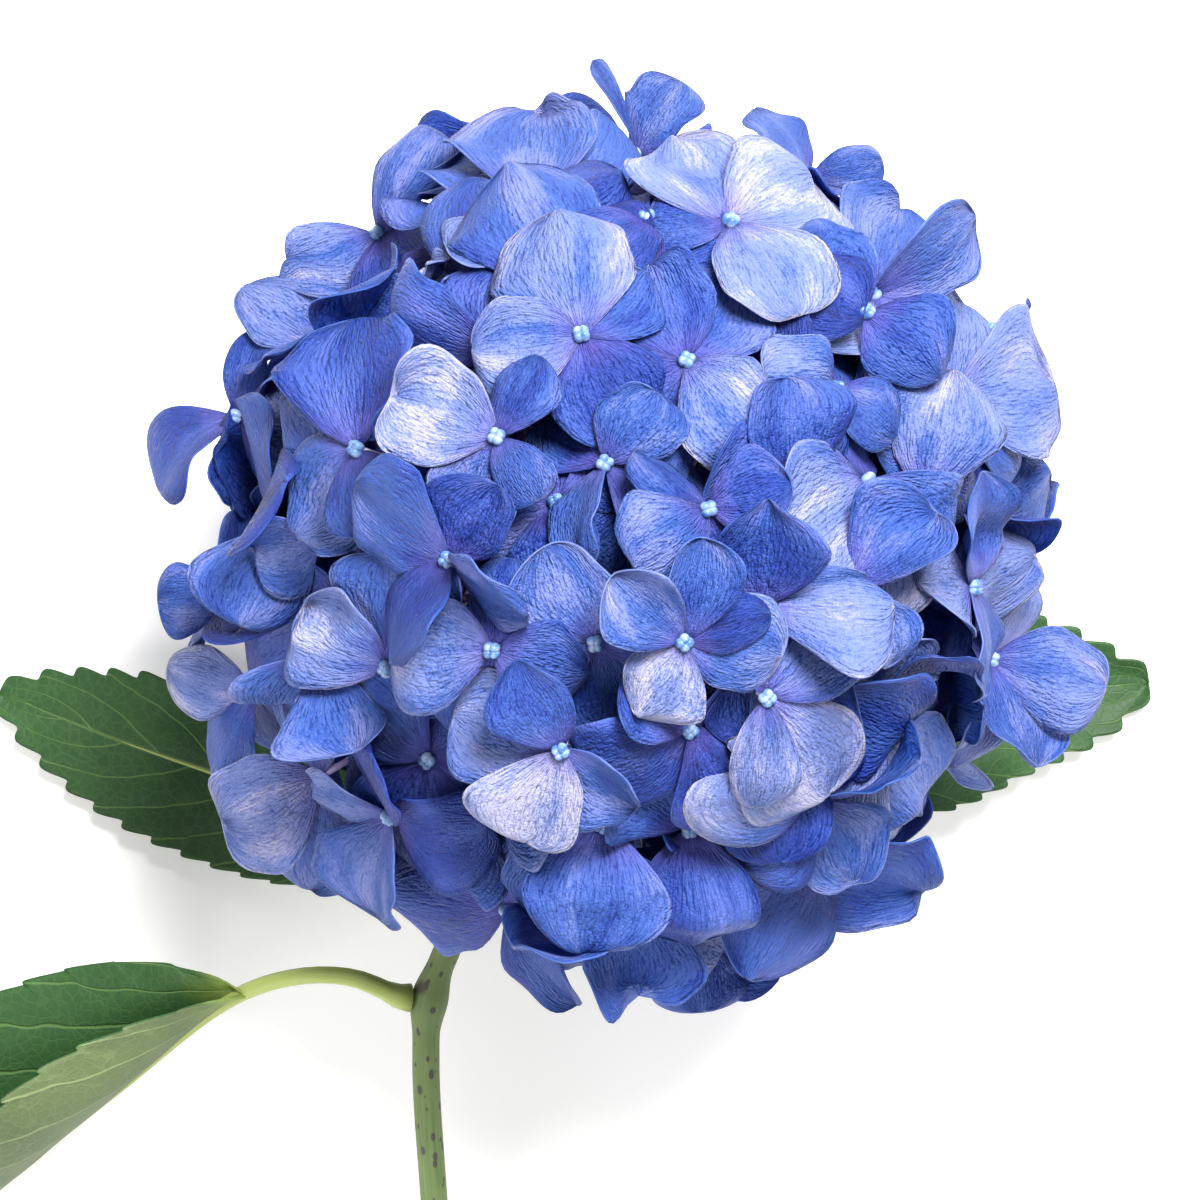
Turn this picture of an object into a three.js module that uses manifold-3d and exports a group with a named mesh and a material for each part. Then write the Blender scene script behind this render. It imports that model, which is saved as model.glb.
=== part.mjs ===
// A cut hydrangea stem lying on a flat surface: one mophead bloom, its stem and four leaves.
// Millimetres, +Z up, the surface at z = 0, the stem's cut end toward -Y.
// The origin is on the surface under the middle of the bloom.

import * as THREE from "three";
import { mergeVertices } from "three/addons/utils/BufferGeometryUtils.js";
import Module from "manifold-3d";

const wasm = await Module();
wasm.setup();

// The bloom: its centre, and the half-sizes of the ellipsoid that the floret centres lie on
const HEAD_CENTRE = new THREE.Vector3(0, 0, 80);
const HEAD_RADII = new THREE.Vector3(78, 86, 75);

// Where an eye looks straight down on the bloom. Places below are given as they look from
// there on the level of the bloom's middle, so a point lower down lies a little further out.
const EYE = new THREE.Vector3(-5.5, -12.1, 1280);

// Florets
const SEPAL_THICKNESS = 0.8;
const SEPAL_WIDEST_AT = 0.64;
const LONGEST_SEPAL = 30;
const BEAD_RADIUS = 2.7;
const BEAD_DEPTH = 1.2 * BEAD_RADIUS;
const ROOT_OFFSET = 0.9;
const PEDICEL_RADIUS = 0.85;
const RAY_RADIUS = 2.3;
const RAY_SIDES = 4;
const RAY_COUNT = 9;
const RAY_REACH = 0.5;
const RAY_CLEAR_ANGLE = 35;
const FIRST_BRANCH = 0.45;
const LAST_BRANCH = 0.97;
const HUB_LENGTH = 9;
const HUB_SIDES = 8;

// Florets placed by the rule, beyond those placed by hand
const SEED = 20;
const RULE_CANDIDATES = 420;
const RULE_SPACING = 35;
const RULE_SEPALS = 4;
const RULE_SEPAL_LENGTH = 27;
const LIFT_SPREAD = 5;
const TUCK = 5;
const LIFT_CHANGES = [0, -2, 2, -4, 4, -7, 7, -10, 10];
const STEM_CLEAR_ANGLE = 27;
const STEM_CLEARANCE = 9;

// The stem, from the bloom's hub to its cut end, and the leaves' thickness
const STEM_RADIUS = 3.1;
const NODE_RADIUS = 4.3;
const CUT_END = new THREE.Vector3(-36, -262, 3.4);
const STEM_SIDES = 12;
const STEM_RINGS = 22;
const SWELLING_REACH = 9;
const FOOT_LENGTH = 2;
const SEAT_GAP = 0.3;
const LEAF_THICKNESS = 0.8;
const PETIOLE_RADIUS = 2.1;
const PETIOLE_SIDES = 7;

// A leaf's teeth, droop and wave, as shares of its half-width, and how far the teeth lean to the
// tip, as a share of a tooth's length
const TOOTH_DEPTH = 0.075;
const TOOTH_LEAN = 0.9;
const DROOP = 0.16;
const RIPPLE = 0.05;

// Each floret placed by hand: its bead's x, y and lift above the ellipsoid, then the tip of each
// sepal as x, y and lift, with the roll about the sepal's length in degrees and its width over
// its length where they differ from 0 and 1.
const HAND_FLORETS = [
  [-9.5, 46, 3, [[-15, 74, 8], [-34, 43, 6], [5, 60, 0]]],
  [13.4, 40.3, -3, [[24, 60, -1], [30, 26, 4], [5, 62, -5]]],
  [23, 70.7, 2, [[42, 80, 3], [39, 51, 5], [10, 90, 2], [3, 73, 1]]],
  [-20, 75, -4, [[-20, 94, 0], [-6, 96, -3], [-34, 88, -3]]],
  [-54, 68, -2, [[-42, 92, 2, 35, 0.6], [-70, 54, 1, -35, 1]]],
  [-33, 57, -3, [[-31, 82, -1, 0, 0.8], [-20, 72, 0, 25, 0.6], [-28, 38, -6]]],
  [-66, 43, -3, [[-80, 41, 1], [-85, 57, 4, 30, 0.8]]],
  [-58.6, 21, 3, [[-76, 32, 4], [-60, 50, 0], [-74, 3, 5], [-54, 2, 2]]],
  [-28, 23.7, 6, [[-50, 33, 9], [-19, 42, 7, 0, 0.7], [-20, 9, 6, 0, 0.8], [-37, 5, 3]]],
  [-4.4, 17.8, -4, [[7, 34, 2], [-10, -4, 0, 50, 0.6]]],
  [18.2, 7.8, 1, [[37, 13, 6], [2, -5, 5], [2, 21, 2, 30, 0.6], [27, -9, -3]]],
  [13, -21.3, 6, [[-4, -7, 8, 0, 0.8], [17, 2, 5, 0, 0.7], [32, -15, 7, 0, 0.6], [3, -38, 9], [34, -25, 7]]],
  [31, -33.4, 5, [[46, -13, 9], [25, -16, 6, 20, 0.5], [28, -58, 9, 0, 0.6], [45, -55, 9]]],
  [-6.5, -21.6, -2, [[-29, -25, 1], [-18, 0, 1]]],
  [-29, -23, 4, [[-53, -20, 8, 0, 1.1], [-24, -3, 0], [-39, -41, -3]]],
  [-14, -45, 6, [[-24, -25, 6, 0, 0.8], [-38, -37, 3], [-22, -66, 11], [3, -58, 8, 20, 0.8]]],
  [-66.5, -50.5, 3, [[-89, -60, 5], [-69, -77, 8], [-54, -76, 4, 0, 0.8], [-74, -26, 8, 20, 0.5]]],
  [-85, 28, -1, [[-104, 13, 0], [-82, 8, -4, 50, 0.7], [-80, 48, -4, 40, 0.6]]],
  [-87, -11, -1, [[-103, -12, 0], [-92, -28, 0, 30, 0.7], [-84, 8, 0, 60, 0.5]]],
  [-82, -32, -1, [[-101, -27, 3], [-63, -21, 0], [-69, -47, 2], [-92, -50, 0]]],
  [-52, -27, -2, [[-70, -13, 3], [-51, -3, 2]]],
  [-43, -47, -4, [[-62, -29, 3], [-46, -71, 3], [-29, -66, -3]]],
  [-25.6, -79.6, 1, [[-54, -77, 2], [-3, -92, 2, 0, 0.6], [-9, -101, -4, 20, 0.55]]],
  [-5, -61, -3, [[-22, -81, 4], [-9, -92, 1], [6, -80, -4, 40, 0.6]]],
  [14, -62, -4, [[15, -88, 0], [1, -48, -2], [24, -42, -4]]],
  [40, -68, -3, [[64, -75, -1], [27, -96, -2], [26, -66, 1]]],
  [55, -40, -3, [[42, -65, 3], [64, -60, 2], [57, -19, -1]]],
  [80, -25, 0, [[106, -32, 2, 0, 0.85], [86, 1, -1], [70, -49, 1], [88, -50, -2], [58, -10, -2]]],
  [53, 14, -4, [[34, 0, 2], [50, -16, 1], [69, -4, 1]]],
  [72.3, 31, 1, [[95, 34, 2], [76, 54, 2], [89, 18, 4], [54, 24, 0]]],
  [54, 55, -2, [[61, 75, 1], [77, 73, 0, 40, 0.7], [38, 68, 1], [66, 42, 2], [37, 45, 2]]],
  [46, 34, -4, [[30, 38, 2], [60, 24, 0], [34, 18, 0]]],
  [40, 80, -6, [[57, 84, -2, 40, 0.6], [59, 68, -2], [28, 96, -3]]],
  [2, 85, -6, [[13, 102, -4, 0, 0.8], [-7, 107, -6, 50, 0.4], [-14, 88, -4]]],
];

// How far these turn up from square to the ellipsoid, to where the eye is
const UPTURN = 0.7;

// A floret pressed flat under the bloom: one of its sepals covers the origin. Bead, then tips.
const REST_BEAD = new THREE.Vector3(13, -7, BEAD_DEPTH);
const PRESS_DEPTH = 14;
const PRESS_TOLERANCE = 0.01;
const REST_TIPS = [[-13, 6], [28, 10], [22, -28], [4, 18]];

// How a sepal may bend, as shares of its length
const ARCH = [0.02, 0.12];
const CUP = [-0.1, 0.14];
const WAVE = [0.02, 0.07];

const UP = new THREE.Vector3(0, 0, 1);
const SIDEWAYS = new THREE.Vector3(1, 0, 0);
const ASKEW = new THREE.Vector3(0.3, 0.5, 0.8);

/** A repeatable draw of numbers from 0 to 1. */
function seededRandom(seed) {
  let state = seed >>> 0;
  return () => {
    state = (Math.imul(state, 1664525) + 1013904223) >>> 0;
    return state / 4294967296;
  };
}

function between(random, [low, high]) {
  return low + (high - low) * random();
}

function degrees(angle) {
  return (angle * Math.PI) / 180;
}

function smooth(value, low, high) {
  return THREE.MathUtils.smoothstep(value, low, high);
}

/** The point at height z that the eye sees at x, y on the level of the bloom's middle. */
function seen(x, y, z) {
  const spread = (EYE.z - z) / (EYE.z - HEAD_CENTRE.z);
  return new THREE.Vector3(EYE.x + (x - EYE.x) * spread, EYE.y + (y - EYE.y) * spread, z);
}

/** The upper point of the bloom, lift above the ellipsoid, that the eye sees at x, y. */
function onHead(x, y, lift) {
  let point = seen(x, y, HEAD_CENTRE.z);
  for (let pass = 0; pass < 4; pass++) {
    const across = (point.x - HEAD_CENTRE.x) / (HEAD_RADII.x + lift);
    const along = (point.y - HEAD_CENTRE.y) / (HEAD_RADII.y + lift);
    const height = Math.sqrt(Math.max(0, 1 - across ** 2 - along ** 2));
    point = seen(x, y, HEAD_CENTRE.z + height * (HEAD_RADII.z + lift));
  }
  return point;
}

/** The direction square to the head's ellipsoid at a point near it. */
function outward(point) {
  return point.clone().sub(HEAD_CENTRE).divide(HEAD_RADII).divide(HEAD_RADII).normalize();
}

/** How low the bloom may reach: onto the surface, and above the leaves that lie under it. */
function floorAt(x, y) {
  const overRightLeaf = 17 * smooth(-y, 20, 42);
  const overLeftLeaf = 42 * smooth(-y, 18, 48) * smooth(-x, 14, 40);
  return Math.max(overRightLeaf, overLeftLeaf);
}

/** A solid from a closed three.js geometry. */
function solidFrom(geometry) {
  geometry.deleteAttribute("normal");
  geometry.deleteAttribute("uv");
  const merged = mergeVertices(geometry, 1e-4);
  return new wasm.Manifold(new wasm.Mesh({
    numProp: 3,
    vertProperties: new Float32Array(merged.attributes.position.array),
    triVerts: new Uint32Array(merged.index.array),
  }));
}

/** The solids joined, without loose scraps, and with any sealed hollow filled. */
function fuse(solids) {
  const bodies = wasm.Manifold.union(solids).decompose();
  bodies.sort((one, other) => other.volume() - one.volume());
  return bodies[0];
}

/** A named mesh of a solid, in one colour. */
function meshFrom(solid, name, colour, roughness) {
  const { vertProperties, triVerts } = solid.getMesh();
  const geometry = new THREE.BufferGeometry();
  geometry.setAttribute("position", new THREE.BufferAttribute(new Float32Array(vertProperties), 3));
  geometry.setIndex(new THREE.BufferAttribute(new Uint32Array(triVerts), 1));
  geometry.computeVertexNormals();
  const mesh = new THREE.Mesh(geometry, new THREE.MeshStandardMaterial({ color: colour, roughness }));
  mesh.name = name;
  return mesh;
}

/** The direction square to the sheet at each of its points. */
function sheetNormals(points, triangles) {
  const normals = points.map(() => new THREE.Vector3());
  for (const [a, b, c] of triangles) {
    const one = points[b].clone().sub(points[a]);
    const other = points[c].clone().sub(points[a]);
    const normal = one.cross(other);
    for (const corner of [a, b, c]) normals[corner].add(normal);
  }
  return normals.map((normal) => normal.normalize());
}

/** The edges that only one triangle uses, each in that triangle's direction. */
function openEdges(triangles) {
  const used = new Set(triangles.flatMap(([a, b, c]) => [`${a} ${b}`, `${b} ${c}`, `${c} ${a}`]));
  return [...used].map((edge) => edge.split(" ").map(Number)).filter(([a, b]) => !used.has(`${b} ${a}`));
}

/** Thickens a sheet of triangles into a closed blade that stays above the floor given. */
function blade(points, triangles, thickness, floor = () => 0) {
  const half = thickness / 2;
  const normals = sheetNormals(points, triangles);
  const count = points.length;
  const position = new Float32Array(count * 6);
  points.forEach((point, i) => {
    const over = point.clone().addScaledVector(normals[i], half);
    const under = point.clone().addScaledVector(normals[i], -half);
    const lowest = floor(point.x, point.y);
    const [lower, upper] = over.z < under.z ? [over, under] : [under, over];
    const pressed = point.z < lowest + half + PRESS_TOLERANCE;
    lower.z = pressed ? lowest : Math.max(lower.z, lowest);
    upper.z = Math.max(upper.z, lowest + thickness);
    over.toArray(position, i * 3);
    under.toArray(position, (count + i) * 3);
  });
  const index = [];
  for (const [a, b, c] of triangles) index.push(a, b, c, count + a, count + c, count + b);
  for (const [a, b] of openEdges(triangles)) index.push(count + a, count + b, b, count + a, b, a);
  const geometry = new THREE.BufferGeometry();
  geometry.setAttribute("position", new THREE.BufferAttribute(position, 3));
  geometry.setIndex(index);
  return solidFrom(geometry);
}

/** A closed tube of few sides along a curve, through rings given as [share of the curve, radius]. */
function stalk(curve, rings, sides, facing = UP) {
  const position = [];
  for (const [share, radius] of rings) {
    const centre = curve.getPointAt(share);
    const tangent = curve.getTangentAt(share);
    const across = new THREE.Vector3().crossVectors(tangent, facing).normalize();
    const over = new THREE.Vector3().crossVectors(across, tangent);
    for (let side = 0; side < sides; side++) {
      const angle = (2 * Math.PI * (side + 0.5)) / sides;
      const point = centre.clone()
        .addScaledVector(over, radius * Math.cos(angle))
        .addScaledVector(across, radius * Math.sin(angle));
      position.push(...point);
    }
  }
  const index = [];
  const last = (rings.length - 1) * sides;
  for (let a = 0; a < last; a++) {
    const b = a % sides === sides - 1 ? a + 1 - sides : a + 1;
    index.push(a, b, b + sides, a, b + sides, a + sides);
  }
  for (let side = 1; side < sides - 1; side++) {
    index.push(0, side + 1, side, last, last + side, last + side + 1);
  }
  const geometry = new THREE.BufferGeometry();
  geometry.setAttribute("position", new THREE.BufferAttribute(new Float32Array(position), 3));
  geometry.setIndex(index);
  return solidFrom(geometry);
}

/** A sepal's half-width along its length, from 0 at its claw to 1 where it is widest. */
function sepalWidth(along) {
  const claw = (along / SEPAL_WIDEST_AT) ** 1.3;
  const crown = ((1 - along) / (1 - SEPAL_WIDEST_AT)) ** 0.45;
  return claw * crown;
}

/** How one sepal bends: each of these is a share of its length, but for the wave's phase. */
function drawBends(random) {
  return {
    arch: between(random, ARCH),
    cup: between(random, CUP),
    wave: between(random, WAVE),
    phase: between(random, [0, 2 * Math.PI]),
  };
}

/** A sepal from its root to its tip, with its own frame. It faces out of the bloom and a little up. */
function makeSepal({ root, upturn, roll, width, bends }, tip) {
  const length = root.distanceTo(tip);
  const along = tip.clone().sub(root).divideScalar(length);
  const facing = outward(root.clone().lerp(tip, 0.6)).addScaledVector(UP, upturn);
  const normal = facing.addScaledVector(along, -facing.dot(along)).normalize();
  normal.applyAxisAngle(along, degrees(roll));
  const across = new THREE.Vector3().crossVectors(normal, along);
  return { root, along, normal, across, length, width: length * width, ...bends };
}

/** A point of a sepal, kept above the floor: u runs from its root to its tip, s across it. */
function sepalPoint(sepal, u, s) {
  const rise = sepal.arch * 4 * u * (1 - u)
    + sepal.cup * s * s * sepalWidth(u)
    + sepal.wave * Math.sin(1.5 * Math.PI * s + sepal.phase) * u * u;
  const point = sepal.root.clone()
    .addScaledVector(sepal.along, u * sepal.length)
    .addScaledVector(sepal.across, 0.5 * s * sepal.width * sepalWidth(u))
    .addScaledVector(sepal.normal, rise * sepal.length);
  point.z = Math.max(point.z, floorAt(point.x, point.y) + SEPAL_THICKNESS / 2);
  return point;
}

/** A sepal's sheet: its middle, then its root inside the bead and six points round its rim. */
function sepalSheet(sepal) {
  const rim = [[0.25, -1], [0.66, -1], [0.965, -1], [0.965, 1], [0.66, 1], [0.25, 1]];
  const root = sepal.root.clone().addScaledVector(sepal.along, ROOT_OFFSET);
  return [sepalPoint(sepal, 0.62, 0), root, ...rim.map(([u, s]) => sepalPoint(sepal, u, s))];
}

const SHEET_TRIANGLES = [[1, 2, 7], ...[2, 3, 4, 5, 6, 7].map((i) => [0, i, i === 7 ? 2 : i + 1])];

/** One sepal: a thin dished blade, narrow at its root inside the bead and round at its tip. */
function sepalSolid(sepal) {
  return blade(sepalSheet(sepal), SHEET_TRIANGLES, SEPAL_THICKNESS, floorAt);
}

/** Which side of the plane through a, b and c the point d lies on, by the sign. */
function sideOf(a, b, c, d) {
  const [bx, by, bz] = [b.x - a.x, b.y - a.y, b.z - a.z];
  const [cx, cy, cz] = [c.x - a.x, c.y - a.y, c.z - a.z];
  const [dx, dy, dz] = [d.x - a.x, d.y - a.y, d.z - a.z];
  return dx * (by * cz - bz * cy) + dy * (bz * cx - bx * cz) + dz * (bx * cy - by * cx);
}

/** Whether the straight line from one point to another passes through the triangle. */
function pierces(from, to, [p, q, r]) {
  if (sideOf(p, q, r, from) * sideOf(p, q, r, to) >= 0) return false;
  const sides = [sideOf(from, to, p, q), sideOf(from, to, q, r), sideOf(from, to, r, p)];
  return sides.every((side) => side > 0) || sides.every((side) => side < 0);
}

function trianglesCross(one, other) {
  return [0, 1, 2].some((i) => pierces(one[i], one[(i + 1) % 3], other)
    || pierces(other[i], other[(i + 1) % 3], one));
}

/** How many pairs of triangles of two sepals' sheets pass through each other. */
function crossings(one, other) {
  const cornersOf = (sheet) => SHEET_TRIANGLES.map((triangle) => triangle.map((i) => sheet[i]));
  let count = 0;
  for (const first of cornersOf(one)) {
    for (const second of cornersOf(other)) {
      if (trianglesCross(first, second)) count++;
    }
  }
  return count;
}

/** The sepal that crosses the placed ones least, of those with its tip lifted or lowered in turn. */
function settle(wish, placed) {
  let best = null;
  for (const change of LIFT_CHANGES) {
    const tip = wish.tipAt(wish.lift + change);
    const sepal = makeSepal(wish, tip);
    const sheet = sepalSheet(sepal);
    let count = 0;
    for (const other of placed) {
      if (other[0].distanceTo(sheet[0]) < 1.5 * LONGEST_SEPAL) count += crossings(sheet, other);
    }
    if (!best || count < best.count) best = { sepal, sheet, count };
    if (count === 0) break;
  }
  placed.push(best.sheet);
  return best.sepal;
}

/** The tip of a sepal seen at x, y, no further up or down from its bead than it can reach. */
function reachable(bead, x, y, lift) {
  const aside = seen(x, y, bead.z).distanceTo(bead);
  const drop = Math.sqrt(Math.max(0, LONGEST_SEPAL ** 2 - aside ** 2));
  return seen(x, y, THREE.MathUtils.clamp(onHead(x, y, lift).z, bead.z - drop, bead.z + drop));
}

/** The florets that were placed by hand. Each sepal is a wish until it is settled. */
function handFlorets(random) {
  return HAND_FLORETS.map(([x, y, lift, tips]) => {
    const bead = onHead(x, y, lift);
    const wishes = tips.map(([tipX, tipY, tipLift, roll = 0, width = 1]) => {
      const tipAt = (height) => reachable(bead, tipX, tipY, height);
      return { root: bead, tipAt, lift: tipLift, upturn: UPTURN, roll, width, bends: drawBends(random) };
    });
    return { bead, lift, wishes };
  });
}

/** The floret under the bloom that it rests on, its sepals pressed flat. */
function restFloret() {
  const wishes = REST_TIPS.map(([x, y]) => {
    const tipAt = () => new THREE.Vector3(x, y, -PRESS_DEPTH);
    const bends = { arch: 0, cup: 0, wave: 0, phase: 0 };
    return { root: REST_BEAD, tipAt, lift: 0, upturn: 0, roll: 0, width: 1, bends };
  });
  return { bead: REST_BEAD, lift: 0, wishes };
}

/** Centres for the other florets, spread evenly over the ellipsoid where it is still bare. */
function ruleBeads(taken, random) {
  const beads = taken.map((floret) => floret.bead);
  const added = [];
  for (let k = 0; k < RULE_CANDIDATES; k++) {
    const height = 1 - (2 * (k + 0.5)) / RULE_CANDIDATES;
    const ring = Math.sqrt(1 - height * height);
    const turn = k * Math.PI * (3 - Math.sqrt(5));
    const lift = between(random, [-LIFT_SPREAD, LIFT_SPREAD]);
    const direction = new THREE.Vector3(ring * Math.cos(turn), ring * Math.sin(turn), height);
    const bead = direction.clone().multiply(HEAD_RADII).addScaledVector(direction, lift).add(HEAD_CENTRE);
    bead.z = Math.max(bead.z, floorAt(bead.x, bead.y) + BEAD_DEPTH);
    const toStem = THREE.MathUtils.radToDeg(bead.clone().sub(HEAD_CENTRE).angleTo(STEM_DIRECTION));
    const clear = beads.every((other) => other.distanceTo(bead) > RULE_SPACING);
    if (clear && toStem > STEM_CLEAR_ANGLE) {
      beads.push(bead);
      added.push({ bead, lift });
    }
  }
  return added;
}

/** The lift of a sepal's tip: tucked under a higher neighbour there, or else raised over it. */
function tuckedLift(tip, floret, all) {
  let nearest = null;
  for (const other of all) {
    const near = other !== floret && other.bead.distanceTo(tip) < RULE_SEPAL_LENGTH;
    if (near && (!nearest || other.bead.distanceTo(tip) < nearest.bead.distanceTo(tip))) nearest = other;
  }
  if (!nearest) return floret.lift;
  return nearest.lift > floret.lift ? floret.lift - TUCK : floret.lift + TUCK;
}

/** The sepals of a floret placed by the rule, set round its centre like a cross. */
function ruleWishes(floret, all, stemPoints, random) {
  const facing = outward(floret.bead);
  const aside = ASKEW.clone().cross(facing).normalize();
  const start = 90 * random();
  const wishes = [];
  for (let k = 0; k < RULE_SEPALS; k++) {
    const angle = start + (360 / RULE_SEPALS) * k + between(random, [-9, 9]);
    const length = RULE_SEPAL_LENGTH * between(random, [0.88, 1.12]);
    const roll = between(random, [-14, 14]);
    const bends = drawBends(random);
    const heading = aside.clone().applyAxisAngle(facing, degrees(angle));
    const level = floret.bead.clone().addScaledVector(heading, length);
    const lift = tuckedLift(level, floret, all);
    const tipAt = (height) => pulledTo(level, height);
    const middle = floret.bead.clone().lerp(level, 0.6);
    const free = stemPoints.every((point) => point.distanceTo(level) > STEM_CLEARANCE
      && point.distanceTo(middle) > STEM_CLEARANCE);
    if (free) wishes.push({ root: floret.bead, tipAt, lift, upturn: 0, roll, width: 1, bends });
  }
  return wishes;
}

/** A point moved in or out until it lies the given lift above the ellipsoid. */
function pulledTo(point, lift) {
  const offset = point.clone().sub(HEAD_CENTRE);
  const share = offset.clone().divide(HEAD_RADII.clone().addScalar(lift)).length();
  return offset.divideScalar(share).add(HEAD_CENTRE);
}

/** All florets. The outer ones are settled first, and the others are bent clear of them. */
function makeFlorets(stemPoints) {
  const random = seededRandom(SEED);
  const byHand = handFlorets(random);
  byHand.sort((one, other) => other.lift - one.lift);
  const first = [restFloret(), ...byHand];
  const added = ruleBeads(first, random);
  const all = [...first, ...added];
  for (const floret of added) floret.wishes = ruleWishes(floret, all, stemPoints, random);
  const placed = [];
  for (const floret of all) floret.sepals = floret.wishes.map((wish) => settle(wish, placed));
  return all;
}

/** The ends of the hub's rays, spread evenly inside the bloom and off the stem. */
function rayEnds() {
  const ends = [];
  for (let k = 0; k < RAY_COUNT; k++) {
    const height = 1 - (2 * (k + 0.5)) / RAY_COUNT;
    const ring = Math.sqrt(1 - height * height);
    const turn = k * Math.PI * (3 - Math.sqrt(5));
    const direction = new THREE.Vector3(ring * Math.cos(turn), ring * Math.sin(turn), height);
    const end = direction.multiply(HEAD_RADII).multiplyScalar(RAY_REACH).add(HEAD_CENTRE);
    const toStem = end.clone().sub(HEAD_CENTRE).angleTo(STEM_DIRECTION);
    if (toStem > degrees(RAY_CLEAR_ANGLE)) ends.push(end);
  }
  return ends;
}

/** The line of a ray: from inside the hub it leaves the stem's line and bends to its end. */
function rayCurve(hub, end) {
  const bend = hub.clone().lerp(end, 0.5).addScaledVector(STEM_DIRECTION, -6);
  return new THREE.QuadraticBezierCurve3(hub, bend, end);
}

/** A pedicel that starts inside its ray and ends in the bead, which is pointed at its top. */
function pedicel(foot, bead, facing) {
  const out = outward(bead);
  const neck = bead.clone().addScaledVector(out, -1.6 * BEAD_RADIUS);
  const belly = bead.clone().addScaledVector(out, -0.4 * BEAD_RADIUS);
  const top = bead.clone().addScaledVector(out, 1.1 * BEAD_RADIUS);
  const sections = [[foot, PEDICEL_RADIUS], [neck, PEDICEL_RADIUS], [belly, BEAD_RADIUS]];
  const position = [];
  for (const [centre, radius] of sections) {
    const along = centre === foot ? neck.clone().sub(foot).normalize() : out;
    const across = new THREE.Vector3().crossVectors(along, facing).normalize();
    const over = new THREE.Vector3().crossVectors(along, across);
    for (const [right, up] of [[1, 1], [-1, 1], [-1, -1], [1, -1]]) {
      const corner = centre.clone().addScaledVector(across, right * radius * Math.SQRT1_2);
      position.push(...corner.addScaledVector(over, up * radius * Math.SQRT1_2));
    }
  }
  position.push(...top);
  const index = [0, 2, 1, 0, 3, 2];
  for (let side = 0; side < 4; side++) {
    const next = (side + 1) % 4;
    for (const ring of [0, 4]) {
      index.push(ring + side, ring + next, ring + next + 4, ring + side, ring + next + 4, ring + side + 4);
    }
    index.push(8 + side, 8 + next, 12);
  }
  const geometry = new THREE.BufferGeometry();
  geometry.setAttribute("position", new THREE.BufferAttribute(new Float32Array(position), 3));
  geometry.setIndex(index);
  return solidFrom(geometry);
}

/** The bloom: rays from the hub, a pedicel to each floret, and the floret's bead and sepals. */
function flowerHead(florets) {
  const seat = HUB.clone().addScaledVector(STEM_DIRECTION, -SEAT_GAP);
  const hub = HUB.clone().addScaledVector(STEM_DIRECTION, -SEAT_GAP - HUB_LENGTH / 2);
  const crown = HUB.clone().addScaledVector(STEM_DIRECTION, -SEAT_GAP - HUB_LENGTH);
  const hubRings = [[0, STEM_RADIUS], [0.5, NODE_RADIUS], [1, STEM_RADIUS]];
  const rayRings = [[0, RAY_RADIUS], [0.5, 0.9 * RAY_RADIUS], [1, 0.8 * RAY_RADIUS]];
  const solids = [stalk(new THREE.LineCurve3(seat, crown), hubRings, HUB_SIDES)];
  const rays = rayEnds().map((end) => ({ end, curve: rayCurve(hub, end), florets: [] }));
  for (const floret of florets) {
    const away = (ray) => ray.end.distanceTo(floret.bead);
    rays.reduce((one, other) => (away(other) < away(one) ? other : one)).florets.push(floret);
  }
  for (const ray of rays) {
    solids.push(stalk(ray.curve, rayRings, RAY_SIDES));
    ray.florets.forEach(({ bead, sepals }, i) => {
      const share = THREE.MathUtils.lerp(LAST_BRANCH, FIRST_BRANCH, i / ray.florets.length);
      solids.push(pedicel(ray.curve.getPointAt(share), bead, sepals[0].along));
      for (const sepal of sepals) solids.push(sepalSolid(sepal));
    });
  }
  return fuse(solids);
}

// The stem's line, from the hub down through the upper node, with its pair of leaves, and the
// lower node, with one leaf, to the cut end
const HUB = seen(-14.5, -33, 69);
const UPPER_NODE = seen(-32.5, -74.5, 55);
const LOWER_NODE = seen(-43, -100, 46);
const STEM_LINE = [
  HUB,
  seen(-23.5, -54, 62),
  UPPER_NODE,
  seen(-38.7, -88, 50.5),
  LOWER_NODE,
  seen(-43.8, -114, 42),
  seen(-42, -144, 33),
  new THREE.Vector3(-39.5, -205, 15),
  CUT_END,
];
const STEM_DIRECTION = UPPER_NODE.clone().sub(HUB).normalize();

function stemCurve() {
  return new THREE.CatmullRomCurve3(STEM_LINE, false, "centripetal");
}

/** The stem's radius near a point of its line: it swells at its two nodes. */
function stemRadius(point) {
  const swelling = (node) => 1 - smooth(point.distanceTo(node), 0, SWELLING_REACH);
  const swollen = Math.max(swelling(UPPER_NODE), swelling(LOWER_NODE));
  return STEM_RADIUS + (NODE_RADIUS - STEM_RADIUS) * swollen;
}

/** The share of a curve's length at which it comes nearest to a point. */
function shareNear(curve, point) {
  const steps = 400;
  const spaced = curve.getSpacedPoints(steps);
  const away = spaced.map((other) => other.distanceTo(point));
  return away.indexOf(Math.min(...away)) / steps;
}

function stemSolid() {
  const curve = stemCurve();
  const shares = Array.from({ length: STEM_RINGS + 1 }, (_, i) => i / STEM_RINGS);
  for (const node of [UPPER_NODE, LOWER_NODE]) {
    const middle = shareNear(curve, node);
    const reach = SWELLING_REACH / curve.getLength();
    const clear = shares.filter((share) => Math.abs(share - middle) > 1.1 * reach);
    const local = [-1, -0.5, 0, 0.5, 1].map((offset) => middle + offset * reach);
    shares.splice(0, shares.length, ...clear, ...local);
  }
  shares.sort((one, other) => one - other);
  return stalk(curve, shares.map((share) => [share, stemRadius(curve.getPointAt(share))]), STEM_SIDES);
}

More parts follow.
